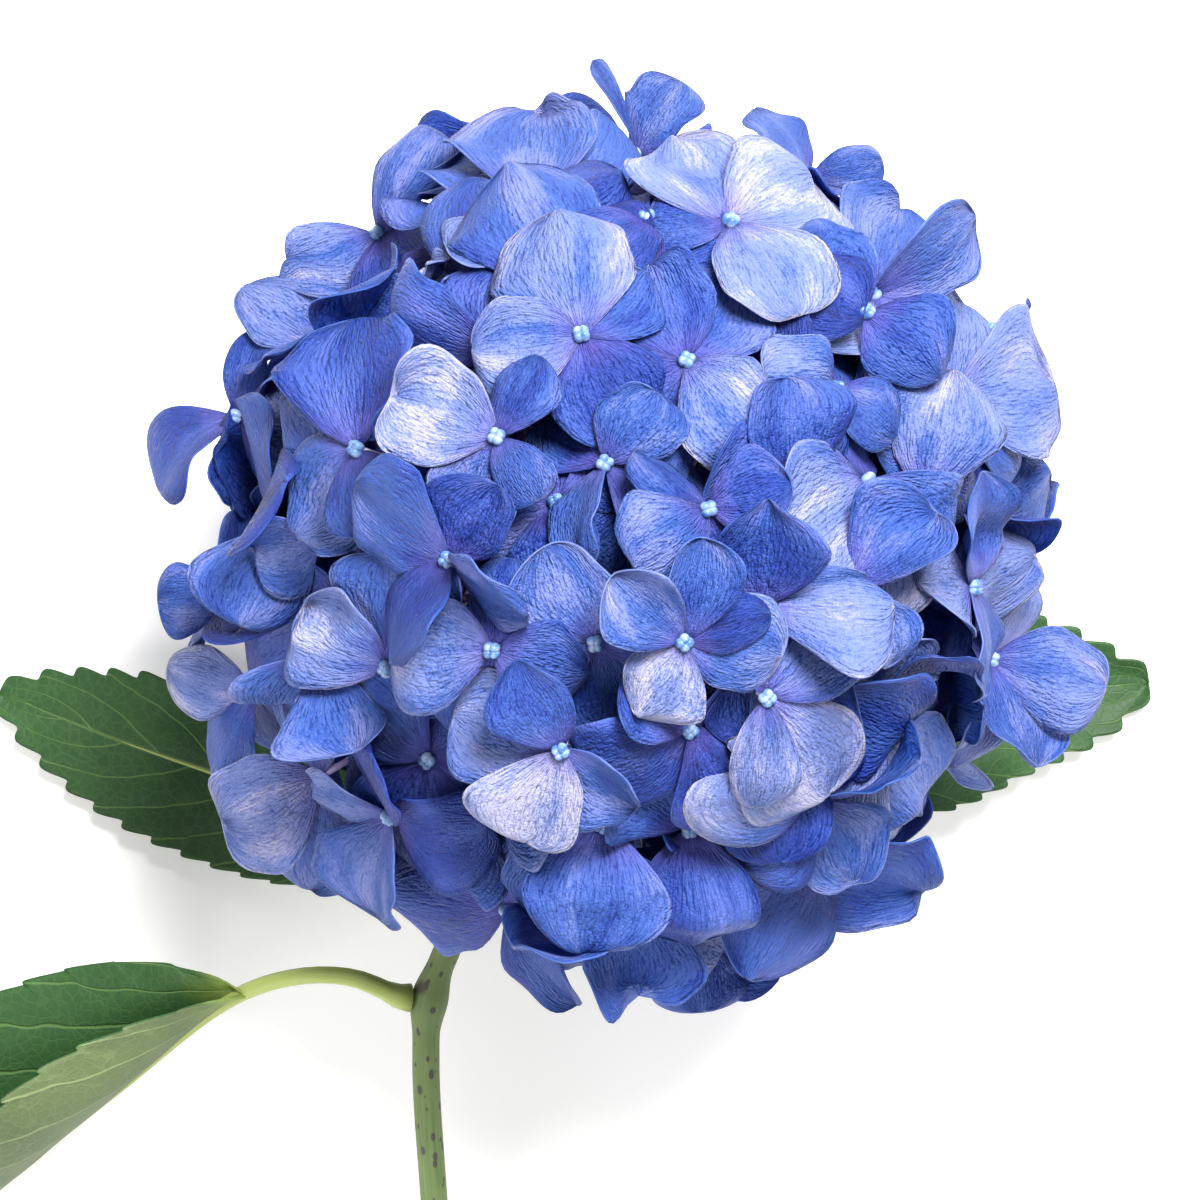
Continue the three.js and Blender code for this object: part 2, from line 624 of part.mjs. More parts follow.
// Leaves: the stem's node they grow from, the line of the petiole and midrib from there to the
// tip, the share of it that the petiole takes, the way the blade faces, its half-width, the teeth
// on each side, and the angles by which the right and the left half rise, seen with the face up:
// the half beside the midrib first, then the one at the margin. Where the blade is folded shut, the
// midrib stands out as far as the share ribEnd.
const LEAVES = {
  leaf_left: {
    node: UPPER_NODE,
    line: [
      seen(-44, -71, 40),
      seen(-60, -62, 22),
      seen(-84, -52.5, 13),
      seen(-110, -43.5, 8),
      seen(-137.5, -32.5, 1.5),
    ],
    petiole: 0.14,
    face: UP,
    halfWidth: 19.5,
    teeth: 15,
    rise: [[9, 9], [6, 6]],
  },
  leaf_right: {
    node: UPPER_NODE,
    line: [
      seen(-19, -77, 32),
      seen(-4, -70, 12),
      seen(32, -52, 6),
      seen(72, -36, 6),
      seen(115, -30, 1.5),
    ],
    petiole: 0.42,
    face: UP,
    halfWidth: 23,
    teeth: 14,
    rise: [[8, 40], [2, 34]],
  },
  leaf_lower: {
    node: LOWER_NODE,
    line: [
      seen(-60, -95.2, 52),
      seen(-71.5, -94.9, 52),
      seen(-86, -99.5, 46),
      seen(-112, -120, 31),
      seen(-137.5, -141, 17),
      seen(-186, -180, 1.5),
    ],
    petiole: 0.21,
    face: UP,
    halfWidth: 40,
    teeth: 16,
    rise: [[32, 14], [95, 134]],
    ribEnd: 0.9,
  },
  leaf_small: {
    node: seen(-26.5, -61, 60),
    line: [
      seen(-42, -61, 43),
      seen(-58, -39, 24),
      seen(-77, -9, 19),
    ],
    petiole: 0.22,
    face: new THREE.Vector3(-0.5, 0, 0.86),
    halfWidth: 9,
    teeth: 7,
    rise: [[12, 12], [12, 12]],
  },
};

/** The line of a leaf, with a short foot square to the stem's side added before it. */
function leafCurve(node, line) {
  const curve = stemCurve();
  const share = shareNear(curve, node);
  const centre = curve.getPointAt(share);
  const along = curve.getTangentAt(share);
  const aside = line[0].clone().sub(centre);
  aside.addScaledVector(along, -aside.dot(along)).normalize();
  const radius = stemRadius(centre) + SEAT_GAP;
  const foot = centre.clone().addScaledVector(aside, radius);
  const ankle = centre.clone().addScaledVector(aside, radius + FOOT_LENGTH);
  return new THREE.CatmullRomCurve3([foot, ankle, ...line], false, "centripetal");
}

/** A leaf's half-width along the blade, 1 where it is widest. */
function leafWidth(along) {
  const widest = 0.4;
  return (along / widest) ** 0.7 * ((1 - along) / (1 - widest)) ** 0.82;
}

/** The petiole, which runs on under the blade as its midrib and thins out there. */
function leafStalk(curve, petiole, ribEnd) {
  const end = petiole * 1.25;
  const rings = [0, 0.25, 0.5, 0.75, 1].map((share) => [share * end, PETIOLE_RADIUS * (1 - 0.35 * share)]);
  for (const share of ribEnd ? [0.25, 0.5, 0.75, 1] : []) {
    rings.push([end + share * (ribEnd - end), PETIOLE_RADIUS * (0.65 - 0.35 * share)]);
  }
  return stalk(curve, rings, PETIOLE_SIDES, SIDEWAYS);
}

/** How far out and how far up a place on half a blade lies: the half bends at its middle. */
function foldedOut(spread, bend, inner, outer) {
  const near = Math.min(spread, bend);
  const far = spread - near;
  return [
    near * Math.cos(inner) + far * Math.cos(outer),
    near * Math.sin(inner) + far * Math.sin(outer),
  ];
}

/** A leaf: a serrated, waved blade, fused with the petiole that runs on as its midrib. */
function leafSolid({ node, line, petiole, face, halfWidth, teeth, rise, ribEnd }) {
  const curve = leafCurve(node, line);
  const rows = 2 * teeth;
  const lateral = [-1, -0.5, 0, 0.5, 1];
  const points = [];
  for (let row = 0; row <= rows; row++) {
    const isTooth = row % 2 === 1;
    const blunt = row === 0 || row === rows;
    for (const side of blunt ? [0] : lateral) {
      const lean = isTooth ? Math.abs(side) ** 3 * TOOTH_LEAN : 0;
      const along = Math.min((row + lean) / rows, 1);
      const share = petiole + (1 - petiole) * along;
      const tangent = curve.getTangentAt(share);
      const right = new THREE.Vector3().crossVectors(tangent, face).normalize();
      const normal = new THREE.Vector3().crossVectors(right, tangent);
      const outer = isTooth && Math.abs(side) === 1 ? TOOTH_DEPTH * halfWidth : 0;
      const width = halfWidth * leafWidth(row / rows);
      const spread = blunt ? 0 : Math.abs(side) * (width + outer);
      const [inner, margin] = (side > 0 ? rise[0] : rise[1]).map(degrees);
      const [out, up] = foldedOut(spread, width / 2, inner, margin);
      const sag = DROOP * side * side * width * Math.max(Math.cos(margin), 0);
      const wave = RIPPLE * halfWidth * side * side * Math.sin(along * 17 + side * 2);
      points.push(curve.getPointAt(share)
        .addScaledVector(right, Math.sign(side) * (out - wave * Math.sin(margin)))
        .addScaledVector(normal, up - sag + wave * Math.cos(margin)));
    }
  }
  const start = (row) => (row === 0 ? 0 : 1 + (row - 1) * lateral.length);
  const triangles = [];
  for (let row = 0; row < rows; row++) {
    for (let i = 0; i < lateral.length - 1; i++) {
      const a = row === 0 ? 0 : start(row) + i;
      const b = row === 0 ? 0 : a + 1;
      const c = row === rows - 1 ? start(rows) : start(row + 1) + i;
      const d = row === rows - 1 ? c : c + 1;
      if (row > 0) triangles.push([a, b, d]);
      if (row < rows - 1) triangles.push([a, d, c]);
    }
  }
  return fuse([blade(points, triangles, LEAF_THICKNESS), leafStalk(curve, petiole, ribEnd)]);
}

const SEPAL_BLUE = 0x7d8fe0;
const LEAF_GREEN = 0x35603a;
const STEM_GREEN = 0x76905c;

const hydrangea = new THREE.Group();
const stemPoints = stemCurve().getSpacedPoints(60);
hydrangea.add(meshFrom(stemSolid(), "stem", STEM_GREEN, 0.55));
hydrangea.add(meshFrom(flowerHead(makeFlorets(stemPoints)), "flower_head", SEPAL_BLUE, 0.7));
for (const [name, leaf] of Object.entries(LEAVES)) {
  hydrangea.add(meshFrom(leafSolid(leaf), name, LEAF_GREEN, 0.5));
}

export default hydrangea;
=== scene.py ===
"""Looks of a cut hydrangea stem: one mophead bloom, its stem and four serrated leaves.

Lengths are in millimetres, along the frame's axes. metres() turns them into Blender's metres, and
finished_object() does so for a whole piece. Numbers drawn at random come from two seeded streams.
"""

import math
from functools import partial
from itertools import combinations
from types import SimpleNamespace

import bmesh
import bpy
from mathutils import Matrix, Vector
from mathutils.bvhtree import BVHTree


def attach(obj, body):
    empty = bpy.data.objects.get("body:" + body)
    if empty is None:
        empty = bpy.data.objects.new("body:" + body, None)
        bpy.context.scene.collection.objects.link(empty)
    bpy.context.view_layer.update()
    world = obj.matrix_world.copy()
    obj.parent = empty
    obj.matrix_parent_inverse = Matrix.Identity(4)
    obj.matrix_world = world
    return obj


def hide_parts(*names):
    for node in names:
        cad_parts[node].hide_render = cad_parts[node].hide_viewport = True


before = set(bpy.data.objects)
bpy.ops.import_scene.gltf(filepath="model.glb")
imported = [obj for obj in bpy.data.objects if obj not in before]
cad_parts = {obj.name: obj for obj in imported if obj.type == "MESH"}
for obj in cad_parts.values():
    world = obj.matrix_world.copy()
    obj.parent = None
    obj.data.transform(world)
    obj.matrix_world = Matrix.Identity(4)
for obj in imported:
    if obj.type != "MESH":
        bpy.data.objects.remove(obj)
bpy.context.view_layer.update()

MM = 0.001
UP = Vector((0, 0, 1))
ASKEW = Vector((0.3, 0.5, 0.8))
GOLDEN_ANGLE = math.pi * (3 - math.sqrt(5))
SEED = 20
FINISH_SEED = 7

# The bloom: its centre, and the half-sizes of the ellipsoid that the floret centres lie on
HEAD_CENTRE = Vector((0, 0, 80))
HEAD_RADII = Vector((78, 86, 75))

# The camera's eye, and how much it sees across the level of the bloom's middle
EYE = Vector((-5.5, -12.1, 1280))
SEEN_WIDTH = 264
SENSOR = 36

# How far the leaves that lie under the bloom keep it off the floor
RIGHT_LEAF_LIFT = 17
LEFT_LEAF_LIFT = 42

# Each floret in the list: its bead's x, y and lift above the ellipsoid, then the tip of each
# sepal as x, y, lift and tone, from 0, deep, to 1, pale. Some tips go on with the sepal's roll in
# degrees and its width over its length, which are otherwise 0 and 1.
# These tones are partly the sepals' own colour and partly painted light and shade: paler where light
# falls on the bloom, deeper where shade falls.
HAND_FLORETS = [
    (-9.5, 46, 3, [(-15, 74, 8, 0.74), (-34, 43, 6, 0.72), (5, 60, 0, 0.32)]),
    (13.4, 40.3, -3, [(24, 60, -1, 0.4), (30, 26, 4, 0.74), (5, 62, -5, 0.35)]),
    (23, 70.7, 2, [(42, 80, 3, 0.9), (39, 51, 5, 0.8), (10, 90, 2, 0.8), (3, 73, 1, 0.34)]),
    (-20, 75, -4, [(-20, 94, 0, 0.62), (-6, 96, -3, 0.5), (-34, 88, -3, 0.5)]),
    (-54, 68, -2, [(-42, 92, 2, 0.55, 35, 0.6), (-70, 54, 1, 0.7, -35, 1)]),
    (-33, 57, -3, [(-31, 82, -1, 0.4, 0, 0.8), (-20, 72, 0, 0.6, 25, 0.6), (-28, 38, -6, 0.35)]),
    (-66, 43, -3, [(-80, 41, 1, 0.4), (-85, 57, 4, 0.7, 30, 0.8)]),
    (-58.6, 21, 3, [(-76, 32, 4, 0.5), (-60, 50, 0, 0.3), (-74, 3, 5, 0.55), (-54, 2, 2, 0.34)]),
    (-28, 23.7, 6, [(-50, 33, 9, 0.86), (-19, 42, 7, 0.35, 0, 0.7), (-20, 9, 6, 0.45, 0, 0.8),
                    (-37, 5, 3, 0.55)]),
    (-4.4, 17.8, -4, [(7, 34, 2, 0.45), (-10, -4, 0, 0.5, 50, 0.6)]),
    (18.2, 7.8, 1, [(37, 13, 6, 0.3), (2, -5, 5, 0.5), (2, 21, 2, 0.4, 30, 0.6), (27, -9, -3, 0.35)]),
    (13, -21.3, 6, [(-4, -7, 8, 0.66, 0, 0.8), (17, 2, 5, 0.45, 0, 0.7), (32, -15, 7, 0.18, 0, 0.6),
                    (3, -38, 9, 0.92), (34, -25, 7, 0.6)]),
    (31, -33.4, 5, [(46, -13, 9, 0.6), (25, -16, 6, 0.45, 20, 0.5), (28, -58, 9, 0.74, 0, 0.6),
                    (45, -55, 9, 0.82)]),
    (-6.5, -21.6, -2, [(-29, -25, 1, 0.64), (-18, 0, 1, 0.6)]),
    (-29, -23, 4, [(-53, -20, 8, 0.76, 0, 1.1), (-24, -3, 0, 0.3), (-39, -41, -3, 0.4)]),
    (-14, -45, 6, [(-24, -25, 6, 0.36, 0, 0.8), (-38, -37, 3, 0.66), (-22, -66, 11, 0.95),
                   (3, -58, 8, 0.52, 20, 0.8)]),
    (-66.5, -50.5, 3, [(-89, -60, 5, 0.8), (-69, -77, 8, 0.52), (-54, -76, 4, 0.48, 0, 0.8),
                       (-74, -26, 8, 0.66, 20, 0.5)]),
    (-85, 28, -1, [(-104, 13, 0, 0.3), (-82, 8, -4, 0.3, 50, 0.7), (-80, 48, -4, 0.35, 40, 0.6)]),
    (-87, -11, -1, [(-103, -12, 0, 0.5), (-92, -28, 0, 0.6, 30, 0.7), (-84, 8, 0, 0.35, 60, 0.5)]),
    (-82, -32, -1, [(-101, -27, 3, 0.8), (-63, -21, 0, 0.35), (-69, -47, 2, 0.4), (-92, -50, 0, 0.45)]),
    (-52, -27, -2, [(-70, -13, 3, 0.7), (-51, -3, 2, 0.5)]),
    (-43, -47, -4, [(-62, -29, 3, 0.45), (-46, -71, 3, 0.35), (-29, -66, -3, 0.4)]),
    (-25.6, -79.6, 1, [(-54, -77, 2, 0.28), (-3, -92, 2, 0.6, 0, 0.6), (-9, -101, -4, 0.35, 20, 0.55)]),
    (-5, -61, -3, [(-22, -81, 4, 0.48), (-9, -92, 1, 0.4), (6, -80, -4, 0.35, 40, 0.6)]),
    (14, -62, -4, [(15, -88, 0, 0.3), (1, -48, -2, 0.4), (24, -42, -4, 0.45)]),
    (40, -68, -3, [(64, -75, -1, 0.36), (27, -96, -2, 0.4), (26, -66, 1, 0.4)]),
    (55, -40, -3, [(42, -65, 3, 0.8), (64, -60, 2, 0.62), (57, -19, -1, 0.72)]),
    (80, -25, 0, [(106, -32, 2, 0.68, 0, 0.85), (86, 1, -1, 0.72), (70, -49, 1, 0.55),
                  (88, -50, -2, 0.5), (58, -10, -2, 0.5)]),
    (53, 14, -4, [(34, 0, 2, 0.8), (50, -16, 1, 0.84), (69, -4, 1, 0.5)]),
    (72.3, 31, 1, [(95, 34, 2, 0.74), (76, 54, 2, 0.66), (89, 18, 4, 0.54), (54, 24, 0, 0.44)]),
    (54, 55, -2, [(61, 75, 1, 0.55), (77, 73, 0, 0.55, 40, 0.7), (38, 68, 1, 0.72), (66, 42, 2, 0.5),
                  (37, 45, 2, 0.76)]),
    (46, 34, -4, [(30, 38, 2, 0.7), (60, 24, 0, 0.45), (34, 18, 0, 0.3)]),
    (40, 80, -6, [(57, 84, -2, 0.55, 40, 0.6), (59, 68, -2, 0.7), (28, 96, -3, 0.5)]),
    (2, 85, -6, [(13, 102, -4, 0.6, 0, 0.8), (-7, 107, -6, 0.4, 50, 0.4), (-14, 88, -4, 0.6)]),
]

# How far these turn up from square to the ellipsoid, to where the eye is, and how unruly they are
# beside the ones placed by the rule
UPTURN = 0.7
HAND_UNRULY = 0.5

# Florets that only the finished bloom has, in the gaps between the others
FILL_FLORETS = [
    (-44.5, 55, -4, [(-38, 79, -4, 0.4), (-57, 50, -4, 0.35)]),
    (-15, 9.3, -6, [(-33, 0, -3, 0.5), (-12, -10, -6, 0.35)]),
    (4.8, 10.6, -7, [(13, 25, -3, 0.35, 30, 0.8), (-8, 16, -9, 0.3)]),
    (-44, 8, -6, [(-22, -2, -1, 0.85, 40, 0.5), (-50, -9, -4, 0.35)]),
    (16, -84, -5, [(-8, -88, 0, 0.6, 40, 0.5), (18, -103, -9, 0.35), (36, -92, -8, 0.3)]),
    (76, 6, -3, [(58, 11, 2, 0.4, 50, 0.7), (75, -16, -1, 0.45), (94, 16, -1, 0.5)]),
    (80, 47, -4, [(89, 54, -3, 0.45, 50, 0.5), (70, 60, -4, 0.4), (92, 38, -6, 0.4)]),
]

# A floret pressed flat under the bloom, which rests on it. Bead, then tips.
BEAD_DEPTH = 3.24
REST_BEAD = Vector((13, -7, BEAD_DEPTH))
REST_TONE = 0.45
PRESS_DEPTH = 14
REST_TIPS = [(-13, 6), (28, 10), (22, -28), (4, 18)]

# Layers of florets placed by the rule: the places tried, how far out of the ellipsoid they lie, how
# far apart, how long their sepals are, how far those roll, and how pale they are. The outer ones
# are in the CAD model too. Half-open ones are squeezed in between them, and others lie deeper.
OUTER = SimpleNamespace(places=420, depth=0, spacing=35, length=27, roll=14, tones=(0.3, 0.75))
BETWEEN = SimpleNamespace(places=700, depth=-2, spacing=17, length=22, roll=62, tones=(0, 0.7))
# The inner layer's deeper tones are painted shade, deep inside the bloom.
INNER = SimpleNamespace(places=420, depth=-14, spacing=26, length=25, roll=14, tones=(0.05, 0.4))
BETWEEN_LIFT = (-1, 8)
RULE_SEPALS = 4
RULE_SWING = 9
RULE_REACH = (0.88, 1.12)
LIFT_SPREAD = 5
TUCK = 5
STEM_CLEAR_ANGLE = 27
STEM_CLEARANCE = 9
STEM_PARTS = 60

# The sepals that complete a listed floret, under its neighbours
HIDDEN_TUCK = 9
HIDDEN_LENGTH = 25
HIDDEN_REACH = (0.85, 1.1)
HIDDEN_ROLL = 16
# Their deeper tones are painted shade, under the neighbours.
HIDDEN_TONES = (0.15, 0.5)

# A sepal's plain outline, and how it may bend, as shares of its length
LONGEST_SEPAL = 30
WIDEST_AT = 0.64
CLAW_CURVE = 1.3
CROWN_CURVE = 0.45
SHEET_THICKNESS = 0.8
ROOT_OFFSET = 0.9
ARCH = (0.02, 0.12)
CUP = (-0.1, 0.14)
WAVE = (0.02, 0.07)

# A sepal's finished outline, which is fuller near its claw. It is lopsided, scalloped, and blunt or
# pointed by its crown's curve.
FULL_WIDEST_AT = 0.58
FULL_CLAW_CURVE = 0.82
NARROWEST_CLAW = 0.09
FULLNESS = 1.04
LOPSIDED = (-0.28, 0.28)
SCALLOP = (0.03, 0.12)
CROWN = (0.36, 0.8)

# How a sepal's finished surface departs from the plain one, as shares of its length: its rim's
# ruffle, its sideways sweep, its crease along the middle and its curled tip. Its twist is in
# radians. TIER is how far opposite sepals lie over the other pair.
RUFFLE = (0.02, 0.08)
RUFFLE_TURNS = (1.2, 2.8)
SWEEP = (-0.09, 0.09)
MOST_CREASE = 0.42
MOST_CURL = 0.42
MOST_TWIST = 1.1
TIER = 0.55

# The mesh of a sepal. Its rows of faces crowd towards its tip.
SEPAL_THICKNESS = 0.34
SEPAL_ACROSS = 6
SEPAL_ALONG = 9
TIP_CROWDING = 1.6
SEPAL_GROUPS = 4

# How a tip is lifted or lowered to settle it clear of the sepals placed before it
LIFT_CHANGES = (0, -2, 2, -4, 4, -7, 7, -10, 10)

# How sepals that cross are pressed apart: the gap between them, the passes, how much of a push
# each pass gives, how far off it is felt, and how far a sepal may give way in all. A filler that
# still crosses a sepal that shows by more faces than MOST_CROSSED is left out.
PRESSED_GAP = 0.5
PRESS_PASSES = 9
PRESS_SHARE = 0.55
PRESS_REACH = 7
MOST_GIVEN = 7
MOST_CROSSED = 8

# A floret's centre: the lobes of its bead
BEAD_RADIUS = 1.9
BEAD_LIFT = 0.9
LOBES = 4
LOBE_ASIDE = 0.46
LOBE_SWELL = 1.3
LOBE_SHAPE = (0.62, 0.62, 0.85, 1)

# The hub at the stem's end, its rays, and the pedicels that branch from them
HUB_LENGTH = 9
RAY_RADIUS = 2.3
RAY_TAPER = 0.35
RAY_COUNT = 9
RAY_REACH = 0.5
RAY_SAG = 4
RAY_CLEAR_ANGLE = 35
FIRST_BRANCH = 0.45
LAST_BRANCH = 0.97
PEDICEL_RADIUS = 0.55
NECK_RADIUS = 0.95

# The stem
STEM_RADIUS = 3.1
NODE_RADIUS = 4.3
SWELLING_REACH = 9

# The rings of the stem's cut end, from the bark in: how deep each step goes, and how wide it is
CUT_RINGS = ((0.25, 0.5), (-0.3, 1.0), (-0.35, 0.6))

# The leaves. The lengths of teeth, droop, ripple and quilting are shares of a blade's half-width.
FOOT_LENGTH = 2
SEAT_GAP = 0.3
LEAF_THICKNESS = 0.5
PETIOLE_RADIUS = 2.1
LEAF_WIDEST_AT = 0.4
LEAF_BASE_CURVE = 0.7
LEAF_TIP_CURVE = 0.82
TOOTH_DEPTH = 0.075
TOOTH_LEAN = 0.45
DROOP = 0.16
RIPPLE = 0.05
QUILTING = 0.022
VEIN_COUNT = 7
VEIN_LEAN = 0.3
VEIN_CURVE = 1.2
ROWS_A_TOOTH = 6
LEAF_ACROSS = 20
FOLD_STEPS = 16

# The floor's sheet lies just under the part
FLOOR_GAP = 0.4
FLOOR_REACH = 8000


def metres(vector):
    return vector * MM


def seeded_random(seed):
    """A repeatable draw of numbers from 0 to 1."""
    state = seed

    def draw(low=0.0, high=1.0):
        nonlocal state
        state = (state * 1664525 + 1013904223) % 2**32
        return low + (high - low) * state / 2**32

    return draw


def smooth(value, low, high):
    """A share that grows smoothly from 0 at low to 1 at high."""
    share = min(1.0, max(0.0, (value - low) / (high - low)))
    return share * share * (3 - 2 * share)


def mixed(low, high, share):
    return low + (high - low) * share


def seen(x, y, z):
    """The point at height z that the eye sees at x, y on the level of the bloom's middle."""
    spread = (EYE.z - z) / (EYE.z - HEAD_CENTRE.z)
    return Vector((mixed(EYE.x, x, spread), mixed(EYE.y, y, spread), z))


def on_head(x, y, lift, passes=4):
    """The upper point of the bloom, lift above the ellipsoid, that the eye sees at x, y."""
    point = seen(x, y, HEAD_CENTRE.z)
    for _ in range(passes):
        across = (point.x - HEAD_CENTRE.x) / (HEAD_RADII.x + lift)
        along = (point.y - HEAD_CENTRE.y) / (HEAD_RADII.y + lift)
        height = math.sqrt(max(0, 1 - across**2 - along**2))
        point = seen(x, y, HEAD_CENTRE.z + height * (HEAD_RADII.z + lift))
    return point


def outward(point):
    """The direction square to the head's ellipsoid at a point near it."""
    offset = point - HEAD_CENTRE
    return Vector(offset[i] / HEAD_RADII[i] ** 2 for i in range(3)).normalized()


def pulled_to(point, lift):
    """A point moved in or out until it lies the given lift above the ellipsoid."""
    offset = point - HEAD_CENTRE
    share = Vector(offset[i] / (HEAD_RADII[i] + lift) for i in range(3)).length
    return HEAD_CENTRE + offset / share


def floor_at(x, y):
    """How low the bloom may reach: onto the surface, and above the leaves that lie under it."""
    over_right_leaf = RIGHT_LEAF_LIFT * smooth(-y, 20, 42)
    over_left_leaf = LEFT_LEAF_LIFT * smooth(-y, 18, 48) * smooth(-x, 14, 40)
    return max(over_right_leaf, over_left_leaf)


def off_floor(point, thickness):
    """The point, raised where a sheet of that thickness would sink below the bloom's floor."""
    point.z = max(point.z, floor_at(point.x, point.y) + thickness / 2)
    return point


def spiral_directions(count):
    """Directions spread evenly over a sphere, from its top to its bottom."""
    for k in range(count):
        height = 1 - 2 * (k + 0.5) / count
        ring = math.sqrt(1 - height**2)
        turn = k * GOLDEN_ANGLE
        yield Vector((ring * math.cos(turn), ring * math.sin(turn), height))


class Line:
    """A smooth line through points, read by the share of its length."""

    STEPS = 40

    def __init__(self, points):
        ends = [2 * points[0] - points[1], *points, 2 * points[-1] - points[-2]]
        self.samples = [points[0].copy()]
        for p, q, r, s in zip(ends, ends[1:], ends[2:], ends[3:]):
            before, span, after = ((b - a).length ** 0.5 for a, b in ((p, q), (q, r), (r, s)))
            leave = ((q - p) / before - (r - p) / (before + span) + (r - q) / span) * span
            arrive = ((r - q) / span - (s - q) / (span + after) + (s - r) / after) * span
            for step in range(1, self.STEPS + 1):
                t = step / self.STEPS
                bend = (3 * t * t - 2 * t**3) * (r - q)
                ease = (t - 2 * t * t + t**3) * leave + (t**3 - t * t) * arrive
                self.samples.append(q + bend + ease)
        self.reach = [0.0]
        for one, other in zip(self.samples, self.samples[1:]):
            self.reach.append(self.reach[-1] + (other - one).length)
        self.length = self.reach[-1]

    def at(self, share):
        goal = min(max(share, 0), 1) * self.length
        last = len(self.reach) - 2
        low, high = 0, last
        while low < high:
            middle = (low + high + 1) // 2
            low, high = (middle, high) if self.reach[middle] <= goal else (low, middle - 1)
        part = (goal - self.reach[low]) / (self.reach[low + 1] - self.reach[low])
        return self.samples[low].lerp(self.samples[low + 1], part)

    def heading(self, share):
        step = 0.002
        return (self.at(min(share + step, 1)) - self.at(max(share - step, 0))).normalized()

    def share_near(self, point, steps=400):
        return min(range(steps + 1), key=lambda i: (self.at(i / steps) - point).length) / steps


class Sepal:
    """A sepal's frame and its bends. It faces out of the bloom and a little up, but for its roll."""

    def __init__(self, wish, tip):
        self.root, self.bends, self.tone = wish.root, wish.bends, wish.tone
        self.filler = False
        self.length = (tip - self.root).length
        self.along = (tip - self.root) / self.length
        facing = outward(self.root.lerp(tip, 0.6)) + UP * wish.upturn
        normal = (facing - self.along * facing.dot(self.along)).normalized()
        self.normal = Matrix.Rotation(math.radians(wish.roll), 3, self.along) @ normal
        self.across = self.normal.cross(self.along)
        self.width = self.length * wish.width

    @staticmethod
    def half_width(u):
        """The half-width along the sepal, 1 where it is widest."""
        claw = (u / WIDEST_AT) ** CLAW_CURVE
        crown = (max(0, 1 - u) / (1 - WIDEST_AT)) ** CROWN_CURVE
        return claw * crown

    def rise(self, u, s):
        """How far the sheet rises at u along it and s across, as a share of its length."""
        bends = self.bends
        arched = bends.arch * 4 * u * (1 - u)
        cupped = bends.cup * s * s * self.half_width(u)
        waved = bends.wave * math.sin(1.5 * math.pi * s + bends.phase) * u * u
        return arched + cupped + waved

    def point(self, u, s):
        """A point of the plain sepal: u runs from the root to the tip, s across."""
        side = 0.5 * s * self.width * self.half_width(u)
        point = self.root + self.along * u * self.length
        point += self.across * side + self.normal * self.rise(u, s) * self.length
        return off_floor(point, SHEET_THICKNESS)

    def sheet(self):
        """The sepal as a few triangles, by which its crossings with others are counted."""
        rim = [(0.25, -1), (0.66, -1), (0.965, -1), (0.965, 1), (0.66, 1), (0.25, 1)]
        root = self.root + self.along * ROOT_OFFSET
        points = [self.point(0.62, 0), root, *(self.point(u, s) for u, s in rim)]
        fan = [(0, i, i + 1) for i in range(2, 7)]
        tree = BVHTree.FromPolygons(points, [(1, 2, 7), *fan, (0, 7, 2)])
        return SimpleNamespace(middle=points[0], tree=tree)

    @staticmethod
    def full_width(u, crown_curve):
        """The half-width of the finished sepal, whose claw never narrows to a point."""
        claw = (u / FULL_WIDEST_AT) ** FULL_CLAW_CURVE
        crown = (max(0, 1 - u) / (1 - FULL_WIDEST_AT)) ** crown_curve
        return max(claw * crown, NARROWEST_CLAW * (1 - smooth(u, 0.5, 0.6)))

    def fine_point(self, u, s, fine):
        """A point of the finished surface, with its ruffled rim, its sweep and its curled tip."""
        outline = 1 + fine.lopsided * s * smooth(u, 0.1, 0.7)
        outline += fine.scallop * math.sin(9 * u + fine.phase * 2 + 2.5 * s) * smooth(u, 0.2, 0.5)
        side = 0.5 * s * self.width * FULLNESS * self.full_width(u, fine.crown) * outline
        ripple = math.sin(2 * math.pi * fine.turns * u + fine.phase + 2 * s)
        ruffled = fine.ruffle * abs(s) ** 2.5 * ripple * smooth(u, 0.1, 0.5)
        curled = fine.curl * smooth(u, 0.5, 1) * (0.35 + s * s)
        creased = fine.crease * abs(s) ** 1.2 * smooth(u, 0.05, 0.5) * self.half_width(u)
        stepped = fine.tier * smooth(u, 0, 0.25) * (1 - smooth(u, 0.75, 1))
        lift = (self.rise(u, s) + ruffled + curled + creased) * self.length
        lift += side * math.sin(fine.twist * u) + stepped
        side += fine.sweep * self.length * u * u
        point = self.root + self.along * u * self.length + self.across * side + self.normal * lift
        return off_floor(point, SEPAL_THICKNESS)


def draw_bends(draw):
    return SimpleNamespace(
        arch=draw(*ARCH), cup=draw(*CUP), wave=draw(*WAVE), phase=draw(0, 2 * math.pi)
    )


def seldom(draw, most):
    """A draw from -most to most that is mostly small."""
    return most * draw(-1, 1) ** 3


def draw_fine(draw, tier, unruly):
    """How one sepal's finished surface differs. An unruly one twists, curls and creases more."""
    return SimpleNamespace(
        tier=tier,
        twist=seldom(draw, MOST_TWIST) * unruly,
        ruffle=draw(*RUFFLE),
        turns=draw(*RUFFLE_TURNS),
        phase=draw(0, 2 * math.pi),
        sweep=draw(*SWEEP) * unruly,
        lopsided=draw(*LOPSIDED),
        curl=(seldom(draw, MOST_CURL) - 0.04) * unruly,
        crease=(seldom(draw, MOST_CREASE) - 0.03) * unruly,
        scallop=draw(*SCALLOP),
        crown=draw(*CROWN),
    )


def settle(wish, placed):
    """The sepal that crosses the placed ones least, of those with its tip lifted or lowered."""
    best = None
    for change in LIFT_CHANGES:
        sepal = Sepal(wish, wish.tip_at(wish.lift + change))
        sheet = sepal.sheet()
        near = [p for p in placed if (p.middle - sheet.middle).length < 1.5 * LONGEST_SEPAL]
        count = sum(len(sheet.tree.overlap(other.tree)) for other in near)
        if best is None or count < best.count:
            best = SimpleNamespace(count=count, sepal=sepal, sheet=sheet)
        if count == 0:
            break
    placed.append(best.sheet)
    return best.sepal


